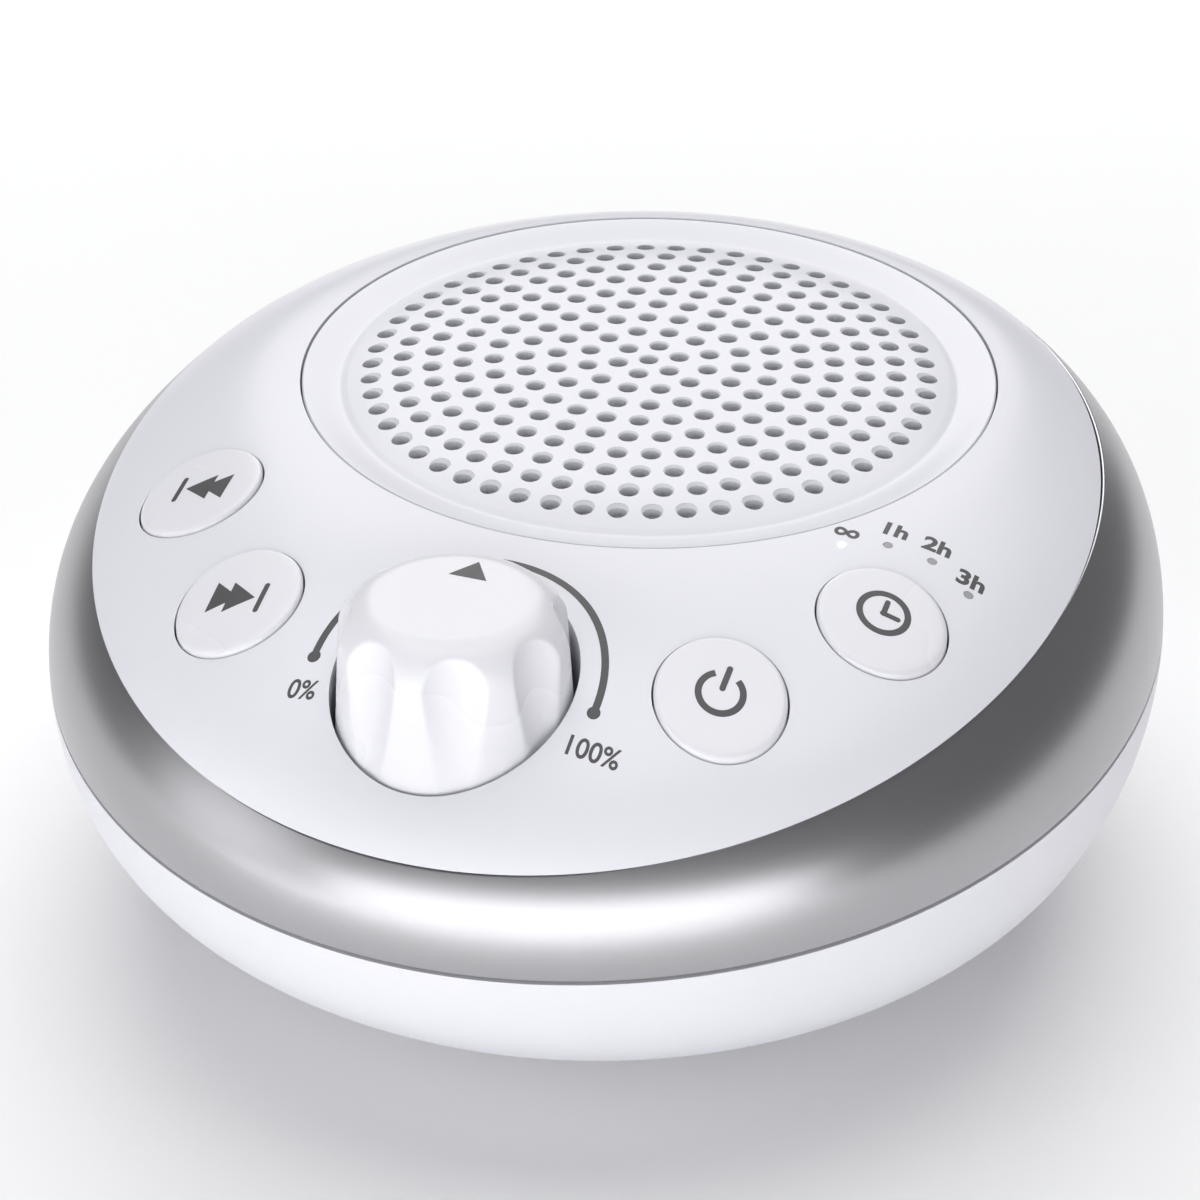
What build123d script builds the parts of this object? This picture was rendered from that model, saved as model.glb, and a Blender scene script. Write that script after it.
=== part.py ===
"""White noise sound machine.

A low round body in three moulded shells: a base, a metallic band and a top panel that slopes to
the front. A perforated grille covers the speaker, a fluted knob sets the volume, and four push
buttons sit beside it. The frame is +Z up, with the front towards -Y. The origin is on the table,
under the middle of the body. All sizes are in millimetres.
"""

import os
from math import cos, radians, sin, tan

from build123d import *

os.makedirs("parts", exist_ok=True)

# ---------------------------------------------------------------- outer form
body_width = 119.0
body_depth = 124.4
foot_stand = 1.0
form_height = 50.45
wall = 2.2

# Slanted cuts through the outer form, from the table to the brow of the panel. Each gives the
# front point, the back point and the half width as shares of the half depth, of the height and
# of the half width: (front, front rise, back, back rise, side).
form_cuts = {
    "rest": (-0.611, 0.000, 0.547, 0.000, 0.605),
    "sill": (-0.764, 0.083, 0.732, 0.095, 0.773),
    "flank": (-0.878, 0.186, 0.884, 0.238, 0.904),
    "belly": (-0.965, 0.317, 0.971, 0.432, 0.975),
    "waist": (-0.998, 0.466, 0.998, 0.640, 1.000),
    "shoulder": (-0.979, 0.626, 0.971, 0.836, 0.973),
    "brow": (-0.921, 0.747, 0.942, 0.920, 0.926),
    "crest": (-0.820, 0.840, 0.905, 0.961, 0.861),
}

# The parting lines, seen from the side: the panel's edge is an arc, the base's edge is straight.
# The shells meet in half laps, and a thin open reveal is left at the outside.
panel_edge = [(-63.0, 34.38), (0.0, 45.5), (60.0, 48.58)]
band_edge_rise = 30.25
band_edge_slope = 4.35
lap_height = 1.2
lap_gap = 0.1
reveal = 0.3

# ---------------------------------------------------------------- speaker grille
grille_y = 13.1
grille_radius = 37.4
grille_gap = 0.2
grille_bevel = 4.0
grille_bevel_drop = 1.1
grille_rise = 0.75
grille_plate = 1.2
hole_pitch = 3.35
hole_rings = 9
hole_radius = 0.97
grille_skirt = 1.2
cloth_thickness = 0.4
seat_width = 3.6
seat_depth = 3.1
seat_thickness = 1.8

# ---------------------------------------------------------------- controls
button_radius = 6.43
button_gap = 0.2
button_stand = 0.5
button_travel = 0.4
button_round = 0.45
button_roof = 1.8
button_wall = 1.3
button_skirt = 1.1
skirt_thickness = 1.2
skirt_clearance = 0.6
stem_radius = 1.7
button_places = {
    "previous": (-36.6, -22.4),
    "next": (-25.2, -37.9),
    "power": (25.2, -37.9),
    "timer": (36.6, -22.4),
}

knob_y = -43.2
knob_radius = 11.8
knob_top_radius = 11.5
knob_top_z = 55.3
knob_skirt_z = 38.0
knob_round = 4.6
knob_crown_angles = [0.0, 30.0, 60.0, 90.0]
knob_roof = 1.8
knob_bore_foot = 10.2
knob_bore_top = 7.8
knob_gap = 0.35
flute_count = 8
flute_radius = 5.0
flute_top = (9.5, 54.47)
flute_foot = (11.85, 39.5)
hub_radius = 5.0
hub_gap = 1.0
well_wall = 1.3
well_floor = 1.4
well_floor_z = 35.6

shaft_radius = 3.0
shaft_neck = 0.6
shaft_flat = 1.5
shaft_fit = 0.05
shaft_engagement = 9.0
bushing_radius = 3.5
bushing_fit = 0.1
bushing_length = 2.6
potentiometer_width = 11.0
potentiometer_height = 6.6

light_angles = [129.5, 103.5, 78.0, 51.0]
light_reach = 10.4
light_radius = 0.45
light_gap = 0.05
light_guide_radius = 1.0
light_bridge_z = 34.0
light_bridge_height = 1.6

# ---------------------------------------------------------------- inside
board_top_z = 28.4
board_thickness = 1.6
control_board_radius = 48.0
control_board_y = -2.0
control_board_back = 3.0
speaker_cutout_radius = 38.5
board_clearance = 0.6
switch_width = 6.0
switch_height = 3.4
plunger_radius = 1.7
plunger_stand = 1.2
plunger_depth = 0.8
plunger_fit = 0.05
led_size = 1.6
led_height = 0.8

speaker_radius = 36.0
speaker_gap = 0.3
speaker_flange = 1.2
speaker_gasket_height = 0.5
basket_opening = 31.0
basket_neck_radius = 21.0
basket_depth = 12.0
basket_wall = 1.0
basket_windows = 4
cone_radius = 26.0
throat_radius = 9.5
cone_depth = 9.0
cone_thickness = 0.5
surround_height = 1.2
coil_gap = 0.4
magnet_radius = 20.0
magnet_height = 9.0
pole_plate = 2.4
dust_cap_rise = 2.0

post_radius = 3.2
post_split_z = 20.0
post_places = [(-22.0, -25.0), (22.0, -25.0), (-38.0, 33.0), (38.0, 33.0)]
housing_screw_length = 12.0
housing_screw_radius = 1.2
housing_head_radius = 2.2
housing_head_height = 1.6
screw_well_radius = 2.5
screw_well_wall = 1.4
screw_web = 3.0
screw_fit = 0.05

boss_radius = 2.4
boss_places = [(-10.0, -27.2), (10.0, -27.2), (-43.0, -7.0), (43.0, -7.0)]
standoff_places = [(-28.0, 22.0), (28.0, 22.0), (-30.0, -12.0), (30.0, -12.0)]
board_screw_radius = 1.0
board_screw_length = 6.0
board_head_radius = 1.9
board_head_height = 1.2

speaker_screw_angles = [50.0, 130.0, 230.0, 310.0]
speaker_screw_reach = 39.0
speaker_screw_length = 5.0
washer_radius = 4.0
washer_height = 1.2

foot_radius = 5.0
foot_thickness = 2.0
foot_fit = 0.05
foot_ring = 29.0
foot_y = -2.0

main_board_z = 12.0
main_board_radius = 42.0
board_tab_gap = 6.9
port_bearing = 20.0
port_z = 19.0
port_bay_width = 34.0
port_bay_height = 17.0
port_bay_corner = 3.0
port_bay_depth = 4.1
port_spacing = 13.0
nozzle_radius = 3.2
nozzle_gap = 0.1
jack_width = 8.0
jack_depth = 12.0
jack_gap = 2.5
barrel_radius = 2.75
barrel_depth = 9.0
pin_radius = 1.0
plug_radius = 1.75
plug_depth = 11.0
chip_width = 10.0
chip_height = 1.4
capacitor_radius = 4.0
capacitor_height = 9.0
capacitor_places = [(-12.0, -20.0), (-1.0, -20.0)]

# ---------------------------------------------------------------- worked-out sizes
half_width = body_width / 2
half_depth = body_depth / 2
form_top_z = foot_stand + form_height
grille_opening = grille_radius + grille_gap
grille_axis = Axis((0, grille_y, 0), (0, 0, 1))
knob_axis = Axis((0, knob_y, 0), (0, 0, 1))
grille_section = Plane(origin=(0, grille_y, 0), x_dir=(1, 0, 0), z_dir=(0, -1, 0))
knob_section = Plane(origin=(0, knob_y, 0), x_dir=(1, 0, 0), z_dir=(0, -1, 0))
seat_z = form_top_z - seat_depth
seat_under_z = seat_z - seat_thickness
seat_bore = grille_opening - seat_width
speaker_z = seat_under_z - speaker_gasket_height
flange_under_z = speaker_z - speaker_flange
basket_floor_z = flange_under_z - basket_depth
knob_bore = knob_radius + knob_gap
potentiometer_top_z = board_top_z + potentiometer_height
bushing_top_z = potentiometer_top_z + bushing_length
hub_foot_z = bushing_top_z + hub_gap
shaft_top_z = hub_foot_z + shaft_engagement
switch_top_z = board_top_z + switch_height
plunger_top_z = switch_top_z + plunger_stand
main_board_top_z = main_board_z + board_thickness
board_under_z = board_top_z - board_thickness
floor_z = foot_stand + wall
head_seat_z = post_split_z - screw_web
well_post_radius = screw_well_radius + screw_well_wall
timer_x, timer_y = button_places["timer"]
light_places = [
    (timer_x + light_reach * cos(radians(a)), timer_y + light_reach * sin(radians(a)))
    for a in light_angles
]
foot_places = [
    (foot_ring * cos(radians(a)), foot_y + foot_ring * sin(radians(a))) for a in (0, 90, 180, 270)
]
speaker_screw_places = [
    (speaker_screw_reach * cos(radians(a)), grille_y + speaker_screw_reach * sin(radians(a)))
    for a in speaker_screw_angles
]
port_bay_floor = half_width - port_bay_depth
board_tab_reach = port_bay_floor - board_tab_gap
port_direction = Vector(cos(radians(port_bearing)), sin(radians(port_bearing)), 0)
port_plane = Plane(
    origin=port_direction * port_bay_floor + Vector(0, 0, port_z),
    x_dir=(-port_direction.Y, port_direction.X, 0),
    z_dir=port_direction,
)
far = 2 * body_depth


# ---------------------------------------------------------------- forms shared by the shells
def cut_sizes(name):
    """The front y, front z, back y, back z and half width of one cut, at the outer surface."""
    front, front_rise, back, back_rise, side = form_cuts[name]
    return (
        front * half_depth,
        foot_stand + front_rise * form_height,
        back * half_depth,
        foot_stand + back_rise * form_height,
        side * half_width,
    )


def blended_cut(lower, upper, across, up):
    """A cut between two others: a share of the way across in plan, and of the way up."""
    shares = (across, up, across, up, across)
    return tuple(a + (b - a) * share for a, b, share in zip(lower, upper, shares))


def filled_in(cuts):
    """The cuts, with a further one on a smooth line between each two neighbours."""
    before = [2 * a - b for a, b in zip(cuts[0], cuts[1])]
    after = [2 * a - b for a, b in zip(cuts[-1], cuts[-2])]
    padded = [before, *cuts, after]
    filled = [cuts[0]]
    for cut, lower, upper, above in zip(padded, padded[1:], padded[2:], padded[3:]):
        middle = [(9 * (b + c) - a - d) / 16 for a, b, c, d in zip(cut, lower, upper, above)]
        filled.extend((middle, upper))
    return filled


grille_rim_cut = (
    grille_y - grille_opening,
    form_top_z,
    grille_y + grille_opening,
    form_top_z,
    grille_opening,
)
body_cuts = [cut_sizes(n) for n in ("rest", "sill", "flank", "belly", "waist", "shoulder", "crest")]
panel_cuts = [cut_sizes(n) for n in ("shoulder", "brow", "crest")]
panel_cuts.append(blended_cut(panel_cuts[2], grille_rim_cut, 0.33, 0.48))
panel_cuts.append(blended_cut(panel_cuts[2], grille_rim_cut, 0.68, 0.83))
panel_cuts.append(grille_rim_cut)


def lofted_form(cuts, inset):
    """A solid through the slanted cuts, drawn in from the outer surface by inset."""
    along = 1 - inset / half_depth
    across = 1 - inset / half_width
    squeeze = (form_height - 2 * inset) / form_height
    with BuildPart() as form:
        for front_y, front_z, back_y, back_z, side in filled_in(cuts):
            front = Vector(0, front_y * along, foot_stand + inset + (front_z - foot_stand) * squeeze)
            back = Vector(0, back_y * along, foot_stand + inset + (back_z - foot_stand) * squeeze)
            chord = back - front
            level = Plane(origin=(front + back) / 2, x_dir=(1, 0, 0), z_dir=(0, -chord.Z, chord.Y))
            with BuildSketch(level):
                Circle(1)
                scale(by=(side * across, chord.length / 2, 1))
        loft(ruled=True)
    return form.part


def raised(solid, rise):
    """A copy of a solid, moved straight up."""
    return solid.moved(Location((0, 0, rise)))


def plane_over(solid, x, y, reach):
    """The plane through three points of a solid's upper surface, around a place."""
    points = []
    for angle in (90, 210, 330):
        line = Axis((x + reach * cos(radians(angle)), y + reach * sin(radians(angle)), 0), (0, 0, 1))
        hits = [point for point, _ in solid.find_intersection_points(line)]
        points.append(max(hits, key=lambda point: point.Z))
    first, second, third = points
    normal = (second - first).cross(third - first)
    return Plane(origin=(first + second + third) / 3, z_dir=normal)


def band_edge_z(y):
    """The height of the joint between the base and the band, at a distance behind the middle."""
    return band_edge_rise + y * tan(radians(band_edge_slope))


body_outer = lofted_form(body_cuts, 0)
body_inner = lofted_form(body_cuts, wall)
body_tongue = lofted_form(body_cuts, wall / 2 + lap_gap)
body_rebate = lofted_form(body_cuts, wall / 2)
panel_outer = lofted_form(panel_cuts, 0)
panel_inner = lofted_form(panel_cuts, wall)
panel_tongue = lofted_form(panel_cuts, wall / 2 + lap_gap)
panel_rebate = lofted_form(panel_cuts, wall / 2)

with BuildPart() as above_panel_edge:
    with BuildSketch(Plane.YZ):
        with BuildLine():
            edge = ThreePointArc(*panel_edge)
            Polyline(
                edge @ 1,
                (far, panel_edge[2][1]),
                (far, far),
                (-far, far),
                (-far, panel_edge[0][1]),
                edge @ 0,
            )
        make_face()
    extrude(amount=far, both=True)

with BuildPart() as above_band_edge:
    with BuildSketch(Plane.YZ):
        with BuildLine():
            Polyline(
                (-far, band_edge_z(-far)),
                (far, band_edge_z(far)),
                (far, 2 * far),
                (-far, 2 * far),
                close=True,
            )
        make_face()
    extrude(amount=far, both=True)

shoulder_front_y, shoulder_front_z, shoulder_back_y, shoulder_back_z, _ = panel_cuts[0]


def shoulder_z(y):
    """The height of the plane that the panel's form starts from."""
    slope = (shoulder_back_z - shoulder_front_z) / (shoulder_back_y - shoulder_front_y)
    return shoulder_front_z + (y - shoulder_front_y) * slope


# All that lies above the panel's surface, which trims each piece that ends in that surface.
with BuildPart() as sky:
    with BuildSketch(Plane.YZ):
        with BuildLine():
            Polyline(
                (-far, shoulder_z(-far)),
                (far, shoulder_z(far)),
                (far, 2 * far),
                (-far, 2 * far),
                close=True,
            )
        make_face()
    extrude(amount=far, both=True)
    add(panel_outer, mode=Mode.SUBTRACT)
sky_solid = sky.part
middle_sky = raised(sky_solid, -wall / 2)


# ---------------------------------------------------------------- shells
with BuildPart() as base_lap:
    add(raised(above_band_edge.part, -reveal))
    add(body_tongue, mode=Mode.SUBTRACT)

with BuildPart() as port_bay:
    with BuildSketch(port_plane):
        RectangleRounded(port_bay_width, port_bay_height, port_bay_corner)
    extrude(amount=half_depth)

with BuildPart() as port_bay_wall:
    with BuildSketch(port_plane.offset(-wall)):
        RectangleRounded(port_bay_width + 2 * wall, port_bay_height + 2 * wall, port_bay_corner + wall)
    extrude(amount=half_depth)

with BuildPart() as base_fittings:
    add(port_bay_wall.part)
    with BuildSketch(Plane.XY.offset(foot_stand)):
        with Locations(*post_places):
            Circle(well_post_radius)
    extrude(amount=post_split_z - foot_stand)
    with BuildSketch(Plane.XY.offset(foot_stand)):
        with Locations(*standoff_places):
            Circle(boss_radius)
    extrude(amount=main_board_z - foot_stand)
    add(body_rebate, mode=Mode.INTERSECT)

with BuildPart() as base_shell:
    add(body_outer)
    add(body_inner, mode=Mode.SUBTRACT)
    add(raised(above_band_edge.part, lap_height), mode=Mode.SUBTRACT)
    add(base_lap.part, mode=Mode.SUBTRACT)
    add(base_fittings.part)
    add(port_bay.part, mode=Mode.SUBTRACT)
    with BuildSketch(port_plane):
        with Locations((-port_spacing / 2, 0), (port_spacing / 2, 0)):
            Circle(nozzle_radius + nozzle_gap)
    extrude(amount=-2 * wall, mode=Mode.SUBTRACT)
    with BuildSketch(Plane.XY):
        with Locations(*post_places):
            Circle(screw_well_radius)
    extrude(amount=head_seat_z, mode=Mode.SUBTRACT)
    with BuildSketch(Plane.XY):
        with Locations(*post_places):
            Circle(housing_screw_radius + screw_fit)
    extrude(amount=post_split_z, mode=Mode.SUBTRACT)
    with BuildSketch(Plane.XY.offset(main_board_z)):
        with Locations(*standoff_places):
            Circle(board_screw_radius + screw_fit)
    extrude(amount=-board_screw_length, mode=Mode.SUBTRACT)
    with BuildSketch(Plane.XY):
        with Locations(*foot_places):
            Circle(foot_radius + foot_fit)
    extrude(amount=foot_thickness, mode=Mode.SUBTRACT)

base_shell.part.label = "base_shell"
export_step(base_shell.part, "parts/base_shell.step")

with BuildPart() as lower_lap:
    add(body_rebate)
    add(raised(above_band_edge.part, lap_height), mode=Mode.SUBTRACT)

with BuildPart() as upper_lap:
    add(panel_rebate)
    add(raised(above_panel_edge.part, -lap_height), mode=Mode.INTERSECT)

with BuildPart() as trim_band:
    add(body_outer)
    add(body_inner, mode=Mode.SUBTRACT)
    add(above_band_edge.part, mode=Mode.INTERSECT)
    add(above_panel_edge.part, mode=Mode.SUBTRACT)
    add(lower_lap.part, mode=Mode.SUBTRACT)
    add(upper_lap.part, mode=Mode.SUBTRACT)
    add(panel_inner, mode=Mode.SUBTRACT)

trim_band.part.label = "trim_band"
export_step(trim_band.part, "parts/trim_band.step")

with BuildPart() as panel_lap:
    add(panel_outer)
    add(panel_tongue, mode=Mode.SUBTRACT)
    add(raised(above_panel_edge.part, reveal), mode=Mode.SUBTRACT)

with BuildPart() as panel_fittings:
    with BuildSketch(Plane.XY.offset(seat_under_z)):
        with Locations((0, grille_y)):
            Circle(grille_opening + seat_thickness)
    extrude(amount=seat_depth + seat_thickness)
    with BuildSketch(Plane.XY.offset(well_floor_z)):
        with Locations((0, knob_y)):
            Circle(knob_bore + well_wall)
    extrude(amount=form_top_z - well_floor_z)
    with BuildSketch(Plane.XY.offset(post_split_z)):
        with Locations(*post_places):
            Circle(post_radius)
    extrude(amount=form_top_z - post_split_z)
    with BuildSketch(Plane.XY.offset(board_top_z)):
        with Locations(*boss_places):
            Circle(boss_radius)
    extrude(amount=form_top_z - board_top_z)
    with BuildSketch(Plane.XY.offset(flange_under_z)):
        with Locations(*speaker_screw_places):
            Circle(boss_radius)
    extrude(amount=form_top_z - flange_under_z)
    with BuildSketch(Plane.XY.offset(flange_under_z)):
        with Locations((0, grille_y)):
            Circle(speaker_radius + speaker_gap)
    extrude(amount=seat_under_z - flange_under_z, mode=Mode.SUBTRACT)
    add(middle_sky, mode=Mode.SUBTRACT)
    add(trim_band.part, mode=Mode.SUBTRACT)

with BuildPart() as top_panel:
    add(panel_outer)
    add(panel_inner, mode=Mode.SUBTRACT)
    add(raised(above_panel_edge.part, -lap_height), mode=Mode.INTERSECT)
    add(panel_lap.part, mode=Mode.SUBTRACT)
    add(panel_fittings.part)
    with BuildSketch(Plane.XY.offset(seat_z)):
        with Locations((0, grille_y)):
            Circle(grille_opening)
    extrude(amount=far, mode=Mode.SUBTRACT)
    with BuildSketch(Plane.XY.offset(seat_under_z)):
        with Locations((0, grille_y)):
            Circle(seat_bore)
    extrude(amount=far, mode=Mode.SUBTRACT)
    with BuildSketch(Plane.XY.offset(well_floor_z + well_floor)):
        with Locations((0, knob_y)):
            Circle(knob_bore)
    extrude(amount=far, mode=Mode.SUBTRACT)
    with BuildSketch(Plane.XY.offset(well_floor_z)):
        with Locations((0, knob_y)):
            Circle(bushing_radius + bushing_fit)
    extrude(amount=far, mode=Mode.SUBTRACT)
    with BuildSketch(Plane.XY.offset(board_top_z)):
        with Locations(*button_places.values()):
            Circle(button_radius + button_gap)
        with Locations(*light_places):
            Circle(light_radius + light_gap)
    extrude(amount=far, mode=Mode.SUBTRACT)
    with BuildSketch(Plane.XY.offset(board_top_z)):
        with Locations(*boss_places):
            Circle(board_screw_radius + screw_fit)
    extrude(amount=board_screw_length, mode=Mode.SUBTRACT)
    with BuildSketch(Plane.XY.offset(post_split_z)):
        with Locations(*post_places):
            Circle(housing_screw_radius + screw_fit)
    extrude(amount=housing_screw_length, mode=Mode.SUBTRACT)
    with BuildSketch(Plane.XY.offset(flange_under_z)):
        with Locations(*speaker_screw_places):
            Circle(board_screw_radius + screw_fit)
    extrude(amount=speaker_screw_length, mode=Mode.SUBTRACT)

top_panel.part.label = "top_panel"
export_step(top_panel.part, "parts/top_panel.step")

# ---------------------------------------------------------------- grille
plate_top_z = form_top_z - grille_bevel_drop + grille_rise
skirt_foot_z = seat_z + cloth_thickness
with BuildPart() as speaker_grille:
    with BuildSketch(grille_section):
        with BuildLine():
            Polyline(
                (0, plate_top_z - grille_plate),
                (0, plate_top_z),
                (grille_radius - grille_bevel - grille_rise, plate_top_z),
                (grille_radius - grille_bevel, form_top_z - grille_bevel_drop),
                (grille_radius, form_top_z),
                (grille_radius, skirt_foot_z),
                (grille_radius - grille_skirt, skirt_foot_z),
                (grille_radius - grille_skirt, plate_top_z - grille_plate),
                close=True,
            )
        make_face()
    revolve(axis=grille_axis)
    with BuildSketch(Plane.XY.offset(plate_top_z)):
        with Locations((0, grille_y)):
            RegularPolygon(hole_radius, 6)
            for ring in range(1, hole_rings + 1):
                with PolarLocations(ring * hole_pitch, 6 * ring, start_angle=90):
                    RegularPolygon(hole_radius, 6)
    extrude(amount=-grille_plate, mode=Mode.SUBTRACT)

speaker_grille.part.label = "speaker_grille"
export_step(speaker_grille.part, "parts/speaker_grille.step")

with BuildPart() as grille_cloth:
    with BuildSketch(Plane.XY.offset(seat_z)):
        with Locations((0, grille_y)):
            Circle(grille_radius)
    extrude(amount=cloth_thickness)

grille_cloth.part.label = "grille_cloth"
export_step(grille_cloth.part, "parts/grille_cloth.step")

# ---------------------------------------------------------------- buttons and their switches
for button_name, (button_x, button_y) in button_places.items():
    button_top = plane_over(panel_outer, button_x, button_y, button_radius).offset(button_stand)
    skirt_top = plane_over(panel_inner, button_x, button_y, button_radius + button_skirt)
    skirt_top = skirt_top.offset(-skirt_clearance)
    with BuildPart() as button_flange:
        with BuildSketch(Plane.XY.offset(plunger_top_z)):
            with Locations((button_x, button_y)):
                Circle(button_radius + button_skirt)
        extrude(amount=form_top_z - plunger_top_z)
        split(bisect_by=skirt_top, keep=Keep.BOTTOM)
        split(bisect_by=skirt_top.offset(-skirt_thickness), keep=Keep.TOP)

    with BuildPart() as button_hollow:
        with BuildSketch(Plane.XY.offset(plunger_top_z)):
            with Locations((button_x, button_y)):
                Circle(button_radius - button_wall)
                Circle(stem_radius, mode=Mode.SUBTRACT)
        extrude(amount=form_top_z - plunger_top_z)
        split(bisect_by=button_top.offset(-button_roof), keep=Keep.BOTTOM)

    with BuildPart() as button_stem:
        with BuildSketch(Plane.XY.offset(plunger_top_z)):
            with Locations((button_x, button_y)):
                Circle(stem_radius)
        extrude(amount=form_top_z - plunger_top_z)
        split(bisect_by=button_top.offset(-button_roof / 2), keep=Keep.BOTTOM)

    with BuildPart() as button:
        with BuildSketch(Plane.XY.offset(plunger_top_z)):
            with Locations((button_x, button_y)):
                Circle(button_radius)
        extrude(amount=form_top_z - plunger_top_z)
        split(bisect_by=button_top, keep=Keep.BOTTOM)
        split(bisect_by=skirt_top.offset(-skirt_thickness), keep=Keep.TOP)
        chamfer(button.faces().sort_by(Axis.Z)[-1].edges(), button_round)
        add(button_flange.part)
        add(button_hollow.part, mode=Mode.SUBTRACT)
        add(button_stem.part)

    button.part.label = button_name + "_button"
    export_step(button.part, "parts/" + button_name + "_button.step")

    with BuildPart() as plunger:
        with BuildSketch(Plane.XY.offset(switch_top_z - plunger_depth)):
            with Locations((button_x, button_y)):
                Circle(plunger_radius)
        extrude(amount=plunger_depth + plunger_stand)

    plunger.part.label = button_name + "_plunger"
    export_step(plunger.part, "parts/" + button_name + "_plunger.step")

with BuildPart() as tact_switches:
    with BuildSketch(Plane.XY.offset(board_top_z)):
        with Locations(*button_places.values()):
            Rectangle(switch_width, switch_width)
    extrude(amount=switch_height)
    with BuildSketch(Plane.XY.offset(switch_top_z)):
        with Locations(*button_places.values()):
            Circle(plunger_radius + plunger_fit)
    extrude(amount=-plunger_depth - 2 * button_travel, mode=Mode.SUBTRACT)

tact_switches.part.label = "tact_switches"
export_step(tact_switches.part, "parts/tact_switches.step")

# ---------------------------------------------------------------- volume knob
flute_run = Vector(flute_foot[0] - flute_top[0], 0, flute_foot[1] - flute_top[1]).normalized()
flute_out = Vector(-flute_run.Z, 0, flute_run.X)
flute_start = Vector(flute_top[0], knob_y, flute_top[1]) + flute_out * flute_radius
flute_length = 2 * (knob_top_z - knob_skirt_z)
with BuildPart() as flute:
    with BuildSketch(Plane(origin=flute_start, x_dir=(0, 1, 0), z_dir=flute_run)):
        Circle(flute_radius)
    extrude(amount=flute_length, both=True)

with BuildPart() as volume_knob:
    with BuildSketch(knob_section):
        with BuildLine():
            Polyline(
                (0, knob_top_z),
                (0, knob_skirt_z),
                (knob_radius, knob_skirt_z),
                *[
                    (
                        knob_top_radius - knob_round * (1 - cos(radians(a))),
                        knob_top_z - knob_round * (1 - sin(radians(a))),
                    )
                    for a in knob_crown_angles
                ],
                close=True,
            )
        make_face()
    revolve(axis=knob_axis)
    for number in range(flute_count):
        add(flute.part.rotate(knob_axis, (number + 0.5) * 360 / flute_count), mode=Mode.SUBTRACT)
    with BuildSketch(knob_section):
        with BuildLine():
            Polyline(
                (0, knob_skirt_z),
                (knob_bore_foot, knob_skirt_z),
                (knob_bore_top, knob_top_z - knob_roof),
                (hub_radius, knob_top_z - knob_roof),
                (hub_radius, hub_foot_z),
                (0, hub_foot_z),
                close=True,
            )
        make_face()
    revolve(axis=knob_axis, mode=Mode.SUBTRACT)
    with BuildSketch(Plane.XY.offset(hub_foot_z)):
        with Locations((0, knob_y)):
            Circle(shaft_radius + shaft_fit)
        with Locations((0, knob_y + shaft_radius + shaft_flat + shaft_fit)):
            Rectangle(4 * shaft_radius, 2 * shaft_radius, mode=Mode.SUBTRACT)
    extrude(amount=shaft_engagement + shaft_fit, mode=Mode.SUBTRACT)

volume_knob.part.label = "volume_knob"
export_step(volume_knob.part, "parts/volume_knob.step")

with BuildPart() as potentiometer_shaft:
    with BuildSketch(Plane.XY.offset(board_top_z + potentiometer_height / 2)):
        with Locations((0, knob_y)):
            Circle(shaft_radius - shaft_neck)
    extrude(amount=shaft_top_z - board_top_z - potentiometer_height / 2)
    with BuildSketch(Plane.XY.offset(bushing_top_z)):
        with Locations((0, knob_y)):
            Circle(shaft_radius)
    extrude(amount=shaft_top_z - bushing_top_z)
    with BuildSketch(Plane.XY.offset(hub_foot_z)):
        with Locations((0, knob_y + shaft_radius + shaft_flat)):
            Rectangle(4 * shaft_radius, 2 * shaft_radius)
    extrude(amount=shaft_engagement, mode=Mode.SUBTRACT)

potentiometer_shaft.part.label = "potentiometer_shaft"
export_step(potentiometer_shaft.part, "parts/potentiometer_shaft.step")

with BuildPart() as potentiometer_body:
    with BuildSketch(Plane.XY.offset(board_top_z)):
        with Locations((0, knob_y)):
            RectangleRounded(potentiometer_width, potentiometer_width, 1.0)
    extrude(amount=potentiometer_height)
    with BuildSketch(Plane.XY.offset(potentiometer_top_z)):
        with Locations((0, knob_y)):
            Circle(bushing_radius)
    extrude(amount=bushing_length)
    with BuildSketch(Plane.XY.offset(board_top_z + potentiometer_height / 2)):
        with Locations((0, knob_y)):
            Circle(shaft_radius - shaft_neck + shaft_fit)
    extrude(amount=far, mode=Mode.SUBTRACT)

potentiometer_body.part.label = "potentiometer_body"
export_step(potentiometer_body.part, "parts/potentiometer_body.step")

# ---------------------------------------------------------------- timer lights
with BuildPart() as timer_leds:
    with BuildSketch(Plane.XY.offset(board_top_z)):
        with Locations(*light_places):
            Rectangle(led_size, led_size)
    extrude(amount=led_height)

timer_leds.part.label = "timer_leds"
export_step(timer_leds.part, "parts/timer_leds.step")

with BuildPart() as timer_light_guide:
    with BuildSketch(Plane.XY.offset(board_top_z + led_height)):
        with Locations(*light_places):
            Circle(light_radius)
    extrude(amount=form_top_z - board_top_z)
    add(sky_solid, mode=Mode.SUBTRACT)
    with BuildSketch(Plane.XY.offset(board_top_z + led_height)):
        with Locations(*light_places):
            Circle(light_guide_radius)
    extrude(amount=light_bridge_z - board_top_z)
    with BuildSketch(Plane.XY.offset(light_bridge_z - light_bridge_height)):
        SlotArc(
            CenterArc((timer_x, timer_y), light_reach, light_angles[-1], light_angles[0] - light_angles[-1]),
            2 * light_guide_radius,
        )
    extrude(amount=light_bridge_height)

timer_light_guide.part.label = "timer_light_guide"
export_step(timer_light_guide.part, "parts/timer_light_guide.step")

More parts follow.
